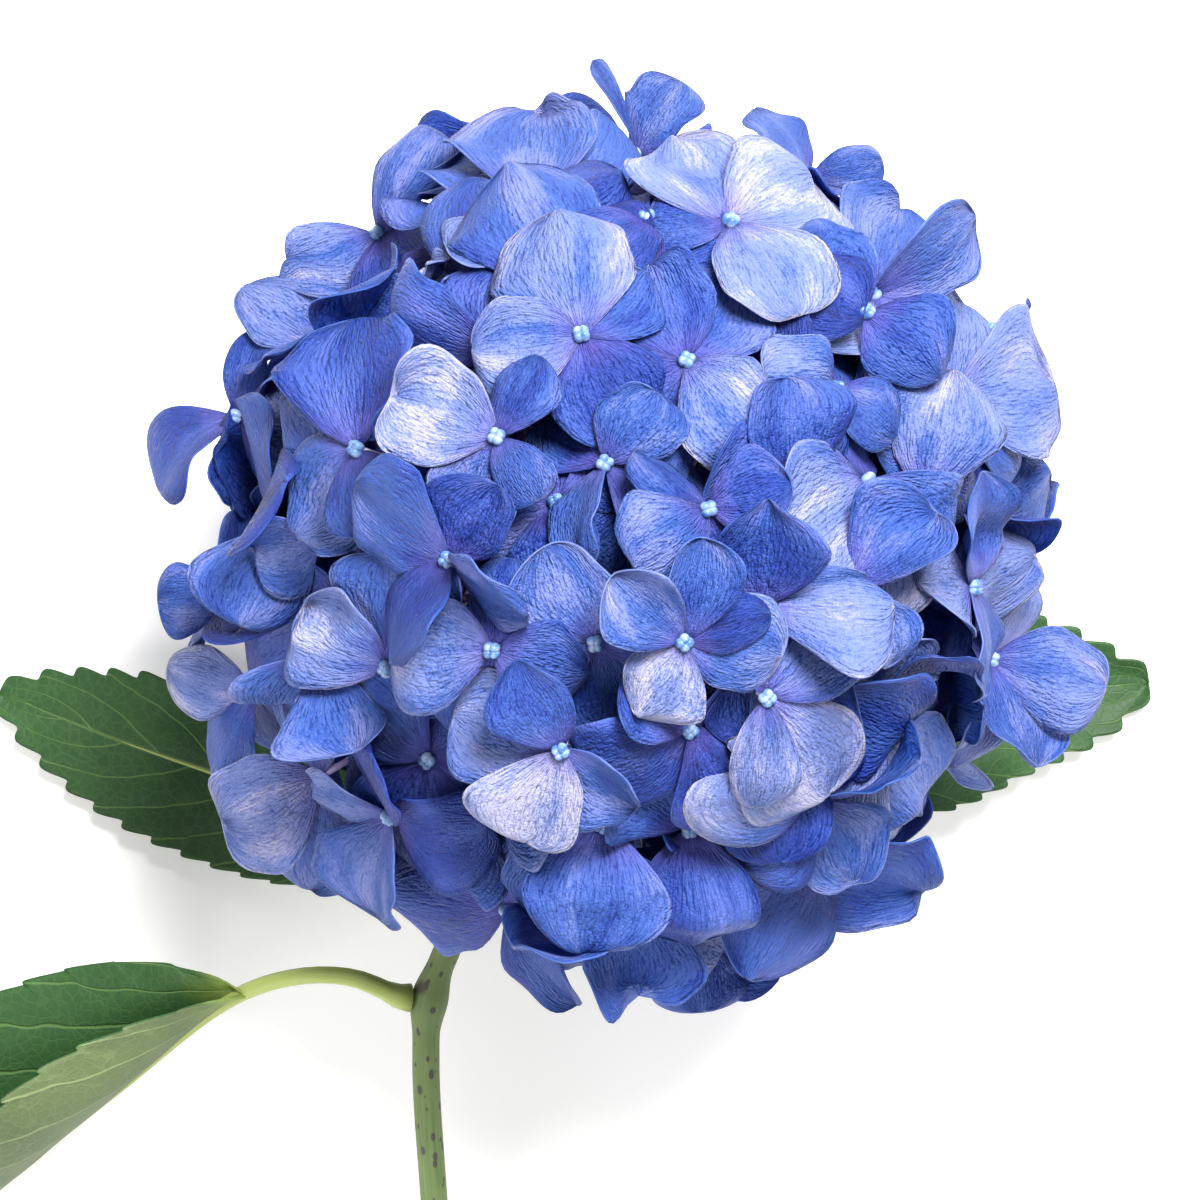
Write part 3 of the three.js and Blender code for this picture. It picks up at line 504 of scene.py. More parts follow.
def reachable(bead, x, y, lift):
    """The tip of a sepal seen at x, y, no further up or down from its bead than it can reach."""
    aside = (seen(x, y, bead.z) - bead).length
    drop = math.sqrt(max(0, LONGEST_SEPAL**2 - aside**2))
    height = min(max(on_head(x, y, lift).z, bead.z - drop), bead.z + drop)
    return seen(x, y, height)


def wished(root, lift, bends, tone, tip_at, roll=0, width=1, upturn=0):
    """What a sepal is to be like until it is settled. tip_at gives its tip for a lift."""
    return SimpleNamespace(
        root=root, lift=lift, bends=bends, tone=tone, tip_at=tip_at,
        roll=roll, width=width, upturn=upturn,
    )


def unsettled(bead, lift, wishes, unruly):
    """A floret whose sepals are all still wishes."""
    return SimpleNamespace(bead=bead, lift=lift, wishes=wishes, sepals=[], unruly=unruly)


def hand_florets(rows, draw):
    """Florets from a list, the highest first."""
    florets = []
    for x, y, lift, tips in rows:
        bead = on_head(x, y, lift)
        wishes = []
        for tip in tips:
            tip_x, tip_y, tip_lift, tone, roll, width = (*tip, 0, 1)[:6]
            tip_at = partial(reachable, bead, tip_x, tip_y)
            bends = draw_bends(draw)
            wishes.append(wished(bead, tip_lift, bends, tone, tip_at, roll, width, UPTURN))
        florets.append(unsettled(bead, lift, wishes, HAND_UNRULY))
    return sorted(florets, key=lambda floret: -floret.lift)


def rest_floret():
    """The floret under the bloom that it rests on, its sepals pressed flat at any lift."""
    flat = SimpleNamespace(arch=0, cup=0, wave=0, phase=0)
    tips = [Vector((x, y, -PRESS_DEPTH)) for x, y in REST_TIPS]
    wishes = [wished(REST_BEAD, 0, flat, REST_TONE, lambda lift, tip=tip: tip) for tip in tips]
    return unsettled(REST_BEAD, 0, wishes, unruly=0)


def add_layer(florets, layer, draw, tone_draw, stem, lift_at):
    """Adds florets spread evenly over the ellipsoid, or deeper, where the bloom is still bare."""
    beads = [floret.bead for floret in florets]
    added = []
    for direction in spiral_directions(layer.places):
        lift = layer.depth + draw(-LIFT_SPREAD, LIFT_SPREAD)
        bead = HEAD_CENTRE + direction * HEAD_RADII + direction * lift
        bead.z = max(bead.z, floor_at(bead.x, bead.y) + BEAD_DEPTH)
        to_stem = math.degrees((bead - HEAD_CENTRE).angle(stem.heading))
        apart = min((other - bead).length for other in beads)
        if to_stem > STEM_CLEAR_ANGLE and apart > layer.spacing:
            beads.append(bead)
            added.append(unsettled(bead, lift, [], unruly=1))
    florets += added
    for floret in added:
        floret.wishes = rule_wishes(floret, layer, draw, tone_draw, stem, lift_at)


def tucked_lift(florets, floret, tip):
    """The lift of a sepal's tip: tucked under a higher neighbour there, or else raised over it."""
    near = [f for f in florets if f is not floret and (f.bead - tip).length < OUTER.length]
    if not near:
        return floret.lift
    nearest = min(near, key=lambda f: (f.bead - tip).length)
    return floret.lift - TUCK if nearest.lift > floret.lift else floret.lift + TUCK


def rule_wishes(floret, layer, draw, tone_draw, stem, lift_at):
    """The sepals of a floret placed by the rule, set round its centre like a cross."""
    facing = outward(floret.bead)
    aside = ASKEW.cross(facing).normalized()
    start = 90 * draw()
    wishes = []
    for k in range(RULE_SEPALS):
        angle = start + 360 / RULE_SEPALS * k + draw(-RULE_SWING, RULE_SWING)
        reach = layer.length * draw(*RULE_REACH)
        roll = draw(-layer.roll, layer.roll)
        bends = draw_bends(draw)
        heading = Matrix.Rotation(math.radians(angle), 3, facing) @ aside
        level = floret.bead + heading * reach
        if clear_of(stem, floret.bead, level):
            lift = lift_at(floret, level)
            wishes.append(level_wish(floret, level, lift, roll, bends, tone_draw(*layer.tones)))
    return wishes


def level_wish(floret, level, lift, roll, bends, tone):
    """A wish for a sepal whose tip is pulled in or out from a level place beside the bead."""
    return wished(floret.bead, lift, bends, tone, partial(pulled_to, level), roll)


def clear_of(stem, bead, tip):
    """Whether a sepal from bead to tip stays away from the stem."""
    middle = bead.lerp(tip, 0.6)
    return all(min((p - tip).length, (p - middle).length) > STEM_CLEARANCE for p in stem.points)


def hidden_wishes(floret, stem, draw):
    """The sepals that a floret's neighbours hide. They complete its cross, in its widest gaps."""
    facing = outward(floret.bead)
    aside = ASKEW.cross(facing).normalized()
    over = facing.cross(aside)
    tips = [wish.tip_at(wish.lift) - floret.bead for wish in floret.wishes]
    angles = [math.atan2(tip.dot(over), tip.dot(aside)) for tip in tips]
    wishes = []
    while len(angles) < RULE_SEPALS:
        angles.sort()
        gaps = [(b - a, a) for a, b in zip(angles, [*angles[1:], angles[0] + 2 * math.pi])]
        gap, start = max(gaps)
        angle = start + gap / (RULE_SEPALS + 1 - len(angles) if gap > math.pi else 2)
        angles.append((angle + math.pi) % (2 * math.pi) - math.pi)
        reach = HIDDEN_LENGTH * draw(*HIDDEN_REACH)
        level = floret.bead + (aside * math.cos(angle) + over * math.sin(angle)) * reach
        roll, bends, tone = draw(-HIDDEN_ROLL, HIDDEN_ROLL), draw_bends(draw), draw(*HIDDEN_TONES)
        if clear_of(stem, floret.bead, level):
            wishes.append(level_wish(floret, level, floret.lift - HIDDEN_TUCK, roll, bends, tone))
    return wishes


def tiers(floret):
    """Opposite sepals lie in one tier: two above, and the two between them below."""
    facing = outward(floret.bead)
    start = floret.sepals[0].along
    for sepal in floret.sepals:
        turn = math.atan2(start.cross(sepal.along).dot(facing), start.dot(sepal.along))
        yield TIER if round(turn / (math.pi / 2)) % 2 == 0 else -TIER


def make_florets(stem_line):
    """All florets. The outer ones are settled first, and the others are bent clear of them."""
    draw, extra = seeded_random(SEED), seeded_random(FINISH_SEED)
    stem = SimpleNamespace(
        points=[stem_line.at(i / STEM_PARTS) for i in range(STEM_PARTS + 1)],
        heading=(UPPER_NODE - HUB).normalized(),
    )
    by_hand = hand_florets(HAND_FLORETS, draw)
    florets = [rest_floret(), *by_hand]
    add_layer(florets, OUTER, draw, extra, stem, partial(tucked_lift, florets))
    placed = []
    for floret in florets:
        floret.sepals = [settle(wish, placed) for wish in floret.wishes]
    in_gaps = hand_florets(FILL_FLORETS, extra)
    florets += in_gaps
    for floret in by_hand + in_gaps:
        floret.wishes += hidden_wishes(floret, stem, extra)
    add_layer(florets, BETWEEN, extra, extra, stem, lambda f, tip: f.lift + extra(*BETWEEN_LIFT))
    add_layer(florets, INNER, extra, extra, stem, lambda f, tip: f.lift)
    for floret in florets:
        for wish in floret.wishes[len(floret.sepals):]:
            sepal = settle(wish, placed)
            sepal.filler = True
            floret.sepals.append(sepal)
        floret.fines = [draw_fine(extra, tier, floret.unruly) for tier in tiers(floret)]
    return florets


def finished_object(name, bm, materials, node, modifiers=()):
    """Makes a piece of a bmesh in millimetres, and hides the node of the CAD model that it stands for.
    """
    bmesh.ops.scale(bm, vec=(MM, MM, MM), verts=bm.verts)
    mesh = bpy.data.meshes.new(name)
    bm.to_mesh(mesh)
    bm.free()
    mesh.shade_smooth()
    piece = bpy.data.objects.new(name, mesh)
    bpy.context.collection.objects.link(piece)
    for material in materials:
        mesh.materials.append(material)
    for kind, settings in modifiers:
        modifier = piece.modifiers.new(kind.title(), kind)
        for key, value in settings.items():
            setattr(modifier, key, value)
    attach(piece, "root")
    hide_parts(node)
    return piece


def smoothed():
    return ("SUBSURF", {"levels": 1, "render_levels": 1})


def thickened(thickness, back, rim):
    settings = {
        "thickness": metres(thickness), "offset": 0,
        "material_offset": back, "material_offset_rim": rim,
    }
    return ("SOLIDIFY", settings)


def add_sepal(bm, sepal, fine, draw):
    """One sepal's sheet. Its UV map runs across and along it, and its tint says how pale it is.

    Gives its vertices with how freely each may give way, from 0 at the claw to 1.
    """
    tint = bm.verts.layers.float_color["tint"]
    made = bmesh.ops.create_grid(
        bm, x_segments=SEPAL_ACROSS, y_segments=SEPAL_ALONG, size=1, calc_uvs=True
    )["verts"]
    violet, phase = draw(), draw()
    tips, freedom = [], {}
    for vertex in made:
        s, t = vertex.co.x, (vertex.co.y + 1) / 2
        if t > 1 - 1e-4:
            tips.append(vertex)
        u = mixed(ROOT_OFFSET / sepal.length, 1, 1 - (1 - t) ** TIP_CROWDING)
        vertex.co = sepal.fine_point(u, s, fine)
        vertex[tint] = (sepal.tone, violet, phase, 1)
        freedom[vertex] = smooth(u, 0.08, 0.45)
    bmesh.ops.pointmerge(bm, verts=tips, merge_co=tips[len(tips) // 2].co)
    freedom = {vertex: share for vertex, share in freedom.items() if vertex.is_valid}
    return SimpleNamespace(bm=bm, freedom=freedom, filler=sepal.filler)


def measure_sheet(sheet):
    """Notes a sheet's vertices, and by their places in that list its faces and neighbours."""
    sheet.verts = list(sheet.freedom)
    place = {vertex: i for i, vertex in enumerate(sheet.verts)}
    faces = {face for vertex in sheet.verts for face in vertex.link_faces}
    sheet.faces = [[place[vertex] for vertex in face.verts] for face in faces]
    sheet.neighbours = [[place[e.other_vert(v)] for e in v.link_edges] for v in sheet.verts]
    sheet.middle = sum((vertex.co for vertex in sheet.verts), Vector()) / len(sheet.verts)
    sheet.radius = max((vertex.co - sheet.middle).length for vertex in sheet.verts)
    sheet.given = [Vector() for _ in sheet.verts]


def sheet_tree(sheet):
    return BVHTree.FromPolygons([vertex.co for vertex in sheet.verts], sheet.faces)


def may_meet(one, other):
    return (one.middle - other.middle).length < one.radius + other.radius


def heights_over(sheet, other):
    """How far each vertex of a sheet lies outside the other sheet, where one covers the other."""
    heights = {}
    for i, vertex in enumerate(sheet.verts):
        out = sheet.outward[i]
        place, _, _, distance = other.tree.ray_cast(vertex.co + out * PRESS_REACH, -out, 2 * PRESS_REACH)
        if place:
            heights[i] = distance - PRESS_REACH
    return heights


def press_pair(one, other):
    """Asks the low places of the sheet further out to rise, and the other's high ones to sink."""
    ones, others = heights_over(one, other), heights_over(other, one)
    if sum(ones.values()) < sum(others.values()):
        one, other, ones, others = other, one, others, ones
    for i, height in ones.items():
        if height < PRESSED_GAP:
            one.push[i] = max(one.push[i], PRESSED_GAP - height, key=abs)
    for i, height in others.items():
        if height > -PRESSED_GAP:
            other.push[i] = min(other.push[i], -PRESSED_GAP - height)


def press_apart(sheets):
    """Bends sepals that cross, until the one that lies further out passes over the other."""
    for sheet in sheets:
        measure_sheet(sheet)
    pairs = [pair for pair in combinations(sheets, 2) if may_meet(*pair)]
    for _ in range(PRESS_PASSES):
        for sheet in sheets:
            sheet.tree = sheet_tree(sheet)
            sheet.outward = [outward(vertex.co) for vertex in sheet.verts]
            sheet.push = [0.0] * len(sheet.verts)
        for one, other in pairs:
            if one.tree.overlap(other.tree):
                press_pair(one, other)
        for sheet in sheets:
            give_way(sheet)


def give_way(sheet):
    """Moves a sheet by its pushes, spread to their neighbours so that it bends and doesn't dent."""
    if not any(sheet.push):
        return
    push = sheet.push
    for _ in range(2):
        push = [
            max(own, sum(push[j] for j in near) / len(near), key=abs)
            for own, near in zip(push, sheet.neighbours)
        ]
    for i, vertex in enumerate(sheet.verts):
        given = sheet.given[i] + sheet.outward[i] * push[i] * PRESS_SHARE * sheet.freedom[vertex]
        if given.length > MOST_GIVEN:
            given = given.normalized() * MOST_GIVEN
        vertex.co = off_floor(vertex.co + (given - sheet.given[i]), SEPAL_THICKNESS)
        sheet.given[i] = given


def drop_stuck(sheets):
    """Takes out the fillers that still cut through a sepal that shows."""
    for sheet in sheets:
        sheet.tree = sheet_tree(sheet)
    shown = [sheet for sheet in sheets if not sheet.filler]
    for filler in (sheet for sheet in sheets if sheet.filler):
        near = (sheet for sheet in shown if may_meet(filler, sheet))
        if any(len(filler.tree.overlap(sheet.tree)) > MOST_CROSSED for sheet in near):
            bmesh.ops.delete(filler.bm, geom=filler.verts, context="VERTS")


def sepal_pieces(florets):
    """The sepals, in as many pieces as keep each one light."""
    draw = seeded_random(FINISH_SEED)
    materials = [sepal_material("sepal_face"), sepal_material("sepal_back", back=True), rim_material()]
    groups, sheets = [], []
    for group in range(SEPAL_GROUPS):
        bm = bmesh.new()
        bm.loops.layers.uv.new("UVMap")
        bm.verts.layers.float_color.new("tint")
        for floret in florets[group::SEPAL_GROUPS]:
            for sepal, fine in zip(floret.sepals, floret.fines):
                sheets.append(add_sepal(bm, sepal, fine, draw))
        groups.append(bm)
    press_apart(sheets)
    drop_stuck(sheets)
    for i, bm in enumerate(groups):
        modifiers = [smoothed(), thickened(SEPAL_THICKNESS, back=1, rim=2)]
        finished_object(f"sepals_{i + 1}", bm, materials, "flower_head", modifiers)


def bead_piece(florets):
    """The small closed centre of each floret: four round lobes that meet in a cross."""
    bm = bmesh.new()
    lobe = Matrix.Translation((LOBE_ASIDE * BEAD_RADIUS, 0, 0)) @ Matrix.Diagonal(LOBE_SHAPE)
    for floret in florets:
        facing = outward(floret.bead)
        across = floret.sepals[0].along.cross(facing).normalized()
        axes = Matrix((across, facing.cross(across), facing)).transposed().to_4x4()
        place = Matrix.Translation(floret.bead + facing * BEAD_LIFT) @ axes
        for k in range(LOBES):
            turn = Matrix.Rotation(2 * math.pi * (k + 0.5) / LOBES, 4, "Z")
            bmesh.ops.create_icosphere(
                bm, subdivisions=1, radius=BEAD_RADIUS * LOBE_SWELL, matrix=place @ turn @ lobe
            )
    finished_object("floret_beads", bm, [bead_material()], "flower_head", [smoothed()])


def add_tube(bm, line, radius_at, sides, steps, end=1.0, capped=True):
    """A round stalk along a line, made ring by ring. Its UV map runs round and along it."""
    uv = bm.loops.layers.uv.get("UVMap") or bm.loops.layers.uv.new("UVMap")
    rings = []
    side_axis = line.heading(0).cross(ASKEW).normalized()
    for step in range(steps + 1):
        share = end * (step / steps)
        heading = line.heading(share)
        side_axis = (side_axis - heading * side_axis.dot(heading)).normalized()
        axes = Matrix((side_axis, heading.cross(side_axis), heading)).transposed().to_4x4()
        matrix = Matrix.Translation(line.at(share)) @ axes @ Matrix.Scale(radius_at(share), 4)
        ring = bmesh.ops.create_circle(bm, segments=sides, radius=1, matrix=matrix)["verts"]
        if rings:
            edges = ring_edges(rings[-1]) + ring_edges(ring)
            for face in bmesh.ops.bridge_loops(bm, edges=edges)["faces"]:
                for loop in face.loops:
                    before = loop.vert in rings[-1]
                    around = (rings[-1] if before else ring).index(loop.vert) / sides
                    loop[uv].uv = (around, (step - before) / steps)
        rings.append(ring)
    if capped:
        for ring in (rings[0], rings[-1]):
            bmesh.ops.contextual_create(bm, geom=ring_edges(ring))


def ring_edges(ring):
    """The edges that join neighbours of a ring of vertices."""
    ring = set(ring)
    return list({edge for vert in ring for edge in vert.link_edges if edge.other_vert(vert) in ring})


def ray_lines(hub, stem_heading):
    """The lines of the rays, which leave the hub for all sides but the stem's."""
    rays = []
    for direction in spiral_directions(RAY_COUNT):
        end = HEAD_CENTRE + direction * HEAD_RADII * RAY_REACH
        if (end - HEAD_CENTRE).angle(stem_heading) > math.radians(RAY_CLEAR_ANGLE):
            bend = hub.lerp(end, 0.5) - stem_heading * RAY_SAG
            rays.append(SimpleNamespace(end=end, line=Line([hub, bend, end]), florets=[]))
    return rays


def pedicel_line(foot, bead):
    """The line of a pedicel, which bends to meet its floret from behind."""
    facing = outward(bead)
    reach = (bead - foot).length
    knee = foot.lerp(bead, 0.55) - facing * 0.1 * reach
    neck = bead - facing * 0.16 * reach
    return Line([foot, knee, neck, bead])


def stalk_piece(florets):
    """The hub's rays, and the pedicels that carry the florets from them."""
    stem_heading = (UPPER_NODE - HUB).normalized()
    bm = bmesh.new()
    hub_line = Line([HUB - stem_heading * reach for reach in (SEAT_GAP, HUB_LENGTH / 2, HUB_LENGTH)])
    add_tube(
        bm, hub_line, lambda share: mixed(STEM_RADIUS, NODE_RADIUS, math.sin(math.pi * share)), 16, 8
    )
    rays = ray_lines(HUB - stem_heading * (SEAT_GAP + HUB_LENGTH / 2), stem_heading)
    for floret in florets:
        min(rays, key=lambda ray: (ray.end - floret.bead).length).florets.append(floret)
    for ray in rays:
        add_tube(bm, ray.line, lambda share: RAY_RADIUS * (1 - RAY_TAPER * share), 10, 8)
        for i, floret in enumerate(ray.florets):
            foot = ray.line.at(mixed(LAST_BRANCH, FIRST_BRANCH, i / len(ray.florets)))
            line = pedicel_line(foot, floret.bead)
            add_tube(bm, line, lambda s: mixed(PEDICEL_RADIUS, NECK_RADIUS, smooth(s, 0.7, 1)), 6, 8)
    bmesh.ops.recalc_face_normals(bm, faces=bm.faces)
    finished_object("pedicels", bm, [pedicel_material()], "flower_head")


# The stem's line, from the hub down through the upper node, with its pair of leaves, and the
# lower node, with one leaf, to the cut end
HUB = seen(-14.5, -33, 69)
UPPER_NODE = seen(-32.5, -74.5, 55)
LOWER_NODE = seen(-43, -100, 46)
STEM_POINTS = [
    HUB,
    seen(-23.5, -54, 62),
    UPPER_NODE,
    seen(-38.7, -88, 50.5),
    LOWER_NODE,
    seen(-43.8, -114, 42),
    seen(-42, -144, 33),
    Vector((-39.5, -205, 15)),
    Vector((-36, -262, 3.4)),
]


def stem_radius(point):
    """The stem's radius near a point of its line: it swells at its two nodes."""
    nearest = min((point - node).length for node in (UPPER_NODE, LOWER_NODE))
    return mixed(STEM_RADIUS, NODE_RADIUS, 1 - smooth(nearest, 0, SWELLING_REACH))


def stem_piece(stem_line):
    """The woody stem, with its cut end dished round the pith."""
    bm = bmesh.new()
    add_tube(bm, stem_line, lambda share: stem_radius(stem_line.at(share)), 28, 150, capped=False)
    bmesh.ops.holes_fill(bm, edges=bm.edges)
    ends = [face for face in bm.faces if len(face.verts) > 4]
    for depth, thickness in CUT_RINGS:
        bmesh.ops.inset_region(bm, faces=ends, thickness=thickness, depth=depth, use_even_offset=True)
    bmesh.ops.recalc_face_normals(bm, faces=bm.faces)
    finished_object("stem_bark", bm, [stem_material()], "stem")


# The dark patch on the stem, in the corner over the lower leaf's stalk
AXIL = metres(seen(-44.5, -97.5, 49))

# Each leaf: where it leaves the stem, the points of its line, how much of that is stalk, which way
# it faces, its half-width and its teeth. Rise gives, for its right and its left half, the angle in
# degrees at which the half leaves the midrib and the angle at its margin.
LEAVES = {
    "leaf_left": SimpleNamespace(
        node=UPPER_NODE,
        points=[
            seen(-44, -71, 40), seen(-60, -62, 22), seen(-84, -52.5, 13),
            seen(-110, -43.5, 8), seen(-137.5, -32.5, 1.5),
        ],
        petiole=0.14, face=UP, half_width=19.5, teeth=15, rise=((9, 9), (6, 6)),
    ),
    "leaf_right": SimpleNamespace(
        node=UPPER_NODE,
        points=[
            seen(-19, -77, 32), seen(-4, -70, 12), seen(32, -52, 6),
            seen(72, -36, 6), seen(115, -30, 1.5),
        ],
        petiole=0.42, face=UP, half_width=23, teeth=14, rise=((8, 40), (2, 34)),
    ),
    "leaf_lower": SimpleNamespace(
        node=LOWER_NODE,
        points=[
            seen(-60, -95.2, 52), seen(-71.5, -94.9, 52), seen(-86, -99.5, 46),
            seen(-112, -120, 31), seen(-137.5, -141, 17), seen(-186, -180, 1.5),
        ],
        petiole=0.21, face=UP, half_width=40, teeth=16, rise=((32, 14), (95, 134)),
    ),
    "leaf_small": SimpleNamespace(
        node=seen(-26.5, -61, 60),
        points=[seen(-42, -61, 43), seen(-58, -39, 24), seen(-77, -9, 19)],
        petiole=0.22, face=Vector((-0.5, 0, 0.86)), half_width=9, teeth=7, rise=((12, 12), (12, 12)),
    ),
}


def leaf_line(stem_line, leaf):
    """The line of a leaf, with a short foot square to the stem's side before it."""
    share = stem_line.share_near(leaf.node)
    centre, heading = stem_line.at(share), stem_line.heading(share)
    aside = leaf.points[0] - centre
    aside = (aside - heading * aside.dot(heading)).normalized()
    radius = stem_radius(centre) + SEAT_GAP
    foot, ankle = centre + aside * radius, centre + aside * (radius + FOOT_LENGTH)
    return Line([foot, ankle, *leaf.points])


def leaf_width(u):
    """A leaf's half-width along the blade, 1 where it is widest."""
    base = (u / LEAF_WIDEST_AT) ** LEAF_BASE_CURVE
    return base * ((1 - u) / (1 - LEAF_WIDEST_AT)) ** LEAF_TIP_CURVE


def folded_out(q, angles):
    """How far out and up a place q of the way across half a blade lies, as shares of its width."""
    inner, margin = angles
    out = up = 0.0
    for i in range(FOLD_STEPS):
        at = q * (i + 0.5) / FOLD_STEPS
        angle = mixed(inner, margin, smooth(at, 0.2, 0.8)) * smooth(at, 0, 0.05)
        out += math.cos(angle) * q / FOLD_STEPS
        up += math.sin(angle) * q / FOLD_STEPS
    return out, up


def vein_phase(u, s):
    """Whole numbers fall on the side veins, which leave the midrib and bend to the tip."""
    return (u - VEIN_LEAN * abs(s) ** VEIN_CURVE) * VEIN_COUNT + (0.5 if s > 0 else 0)


def blade_point(line, leaf, s, t):
    """A point of a leaf's blade, s across it and t along: toothed, folded, waved and quilted."""
    q = abs(s)
    bulge = (1 - abs(2 * ((t * leaf.teeth) % 1) - 1) ** 1.5) * smooth(t, 0, 0.06)
    u = min(t + TOOTH_LEAN * bulge * q**3 / leaf.teeth, 1)
    share = mixed(leaf.petiole, 1, u)
    heading = line.heading(share)
    right = heading.cross(leaf.face).normalized()
    normal = right.cross(heading)
    width = leaf.half_width * leaf_width(min(max(t, 1e-4), 1))
    angles = [math.radians(angle) for angle in (leaf.rise[0] if s > 0 else leaf.rise[1])]
    out, up = folded_out(q, angles)
    margin_out, margin_up = math.cos(angles[1]), math.sin(angles[1])
    tooth = TOOTH_DEPTH * leaf.half_width * bulge * smooth(q, 0.8, 1) * smooth(1 - t, 0, 0.05)
    sag = DROOP * s * s * width * max(margin_out, 0)
    wave = RIPPLE * leaf.half_width * s * s * math.sin(u * 17 + s * 2)
    quilt = abs(math.sin(math.pi * vein_phase(u, s))) ** 0.7 * smooth(q, 0, 0.25)
    quilt *= QUILTING * width * (1 - 0.7 * q)
    relief = wave + quilt
    out = out * width + tooth * margin_out - relief * margin_up
    up = up * width + tooth * margin_up + relief * margin_out
    point = line.at(share) + right * math.copysign(1, s) * out + normal * (up - sag)
    point.z = max(point.z, LEAF_THICKNESS)
    return point


def leaf_blade(name, line, leaf):
    """A leaf's blade, a sheet with a fine row of faces for each step of each tooth."""
    bm = bmesh.new()
    bm.loops.layers.uv.new("UVMap")
    made = bmesh.ops.create_grid(
        bm, x_segments=LEAF_ACROSS, y_segments=leaf.teeth * ROWS_A_TOOTH, size=1, calc_uvs=True
    )
    for vertex in made["verts"]:
        vertex.co = blade_point(line, leaf, vertex.co.x, (vertex.co.y + 1) / 2)
    bmesh.ops.remove_doubles(bm, verts=bm.verts, dist=0.01)
    materials = [leaf_material("leaf_top"), leaf_material("leaf_underside", under=True)]
    modifiers = [smoothed(), thickened(LEAF_THICKNESS, back=1, rim=0)]
    finished_object(name + "_blade", bm, materials, name, modifiers)


def rib_radius(share, petiole):
    """A leaf's stalk flares at its foot, and thins as the midrib to the tip."""
    grown = smooth(share, 0, 0.6 * petiole)
    thinned = 1 - smooth(share, 0.5 * petiole, 1)
    flare = 0.5 * (1 - smooth(share, 0, 0.16 * petiole))
    return PETIOLE_RADIUS * (mixed(1.1, 0.92, grown) * (0.12 + 0.88 * thinned**1.6) + flare)


def leaf_stalk(name, line, leaf):
    """A leaf's stalk, which runs on under the blade as its midrib."""
    bm = bmesh.new()
    add_tube(bm, line, lambda share: rib_radius(share, leaf.petiole), 14, 60, end=0.985)
    bmesh.ops.recalc_face_normals(bm, faces=bm.faces)
    finished_object(name + "_stalk", bm, [petiole_material()], name)


def leaf_pieces(stem_line):
    """A blade and a stalk for each leaf."""
    for name, leaf in LEAVES.items():
        line = leaf_line(stem_line, leaf)
        leaf_blade(name, line, leaf)
        leaf_stalk(name, line, leaf)


class Value:
    """A shader value that sums can be written with: each one adds its Math node."""

    def __init__(self, recipe, socket):
        self.recipe, self.socket = recipe, socket

    def math(self, operation, *values, clamp=False):
        settings = {"operation": operation, "use_clamp": clamp}
        return self.recipe.node("ShaderNodeMath", settings, dict(enumerate(values)))

    def __add__(self, other):
        return self.math("ADD", self, other)

    def __sub__(self, other):
        return self.math("SUBTRACT", self, other)

    def __rsub__(self, other):
        return self.math("SUBTRACT", other, self)

    def __mul__(self, other):
        return self.math("MULTIPLY", self, other)

    def __pow__(self, other):
        return self.math("POWER", self, other)

    __radd__ = __add__
    __rmul__ = __mul__

    def sin(self):
        return self.math("SINE", self)

    def abs(self):
        return self.math("ABSOLUTE", self)

    def clamped(self):
        return self.math("ADD", self, 0.0, clamp=True)

    def between(self, low, high):
        """0 below low and 1 above high, with a smooth step between them."""
        settings = {"interpolation_type": "SMOOTHSTEP"}
        inputs = {"Value": self, "From Min": low, "From Max": high}
        return self.recipe.node("ShaderNodeMapRange", settings, inputs)


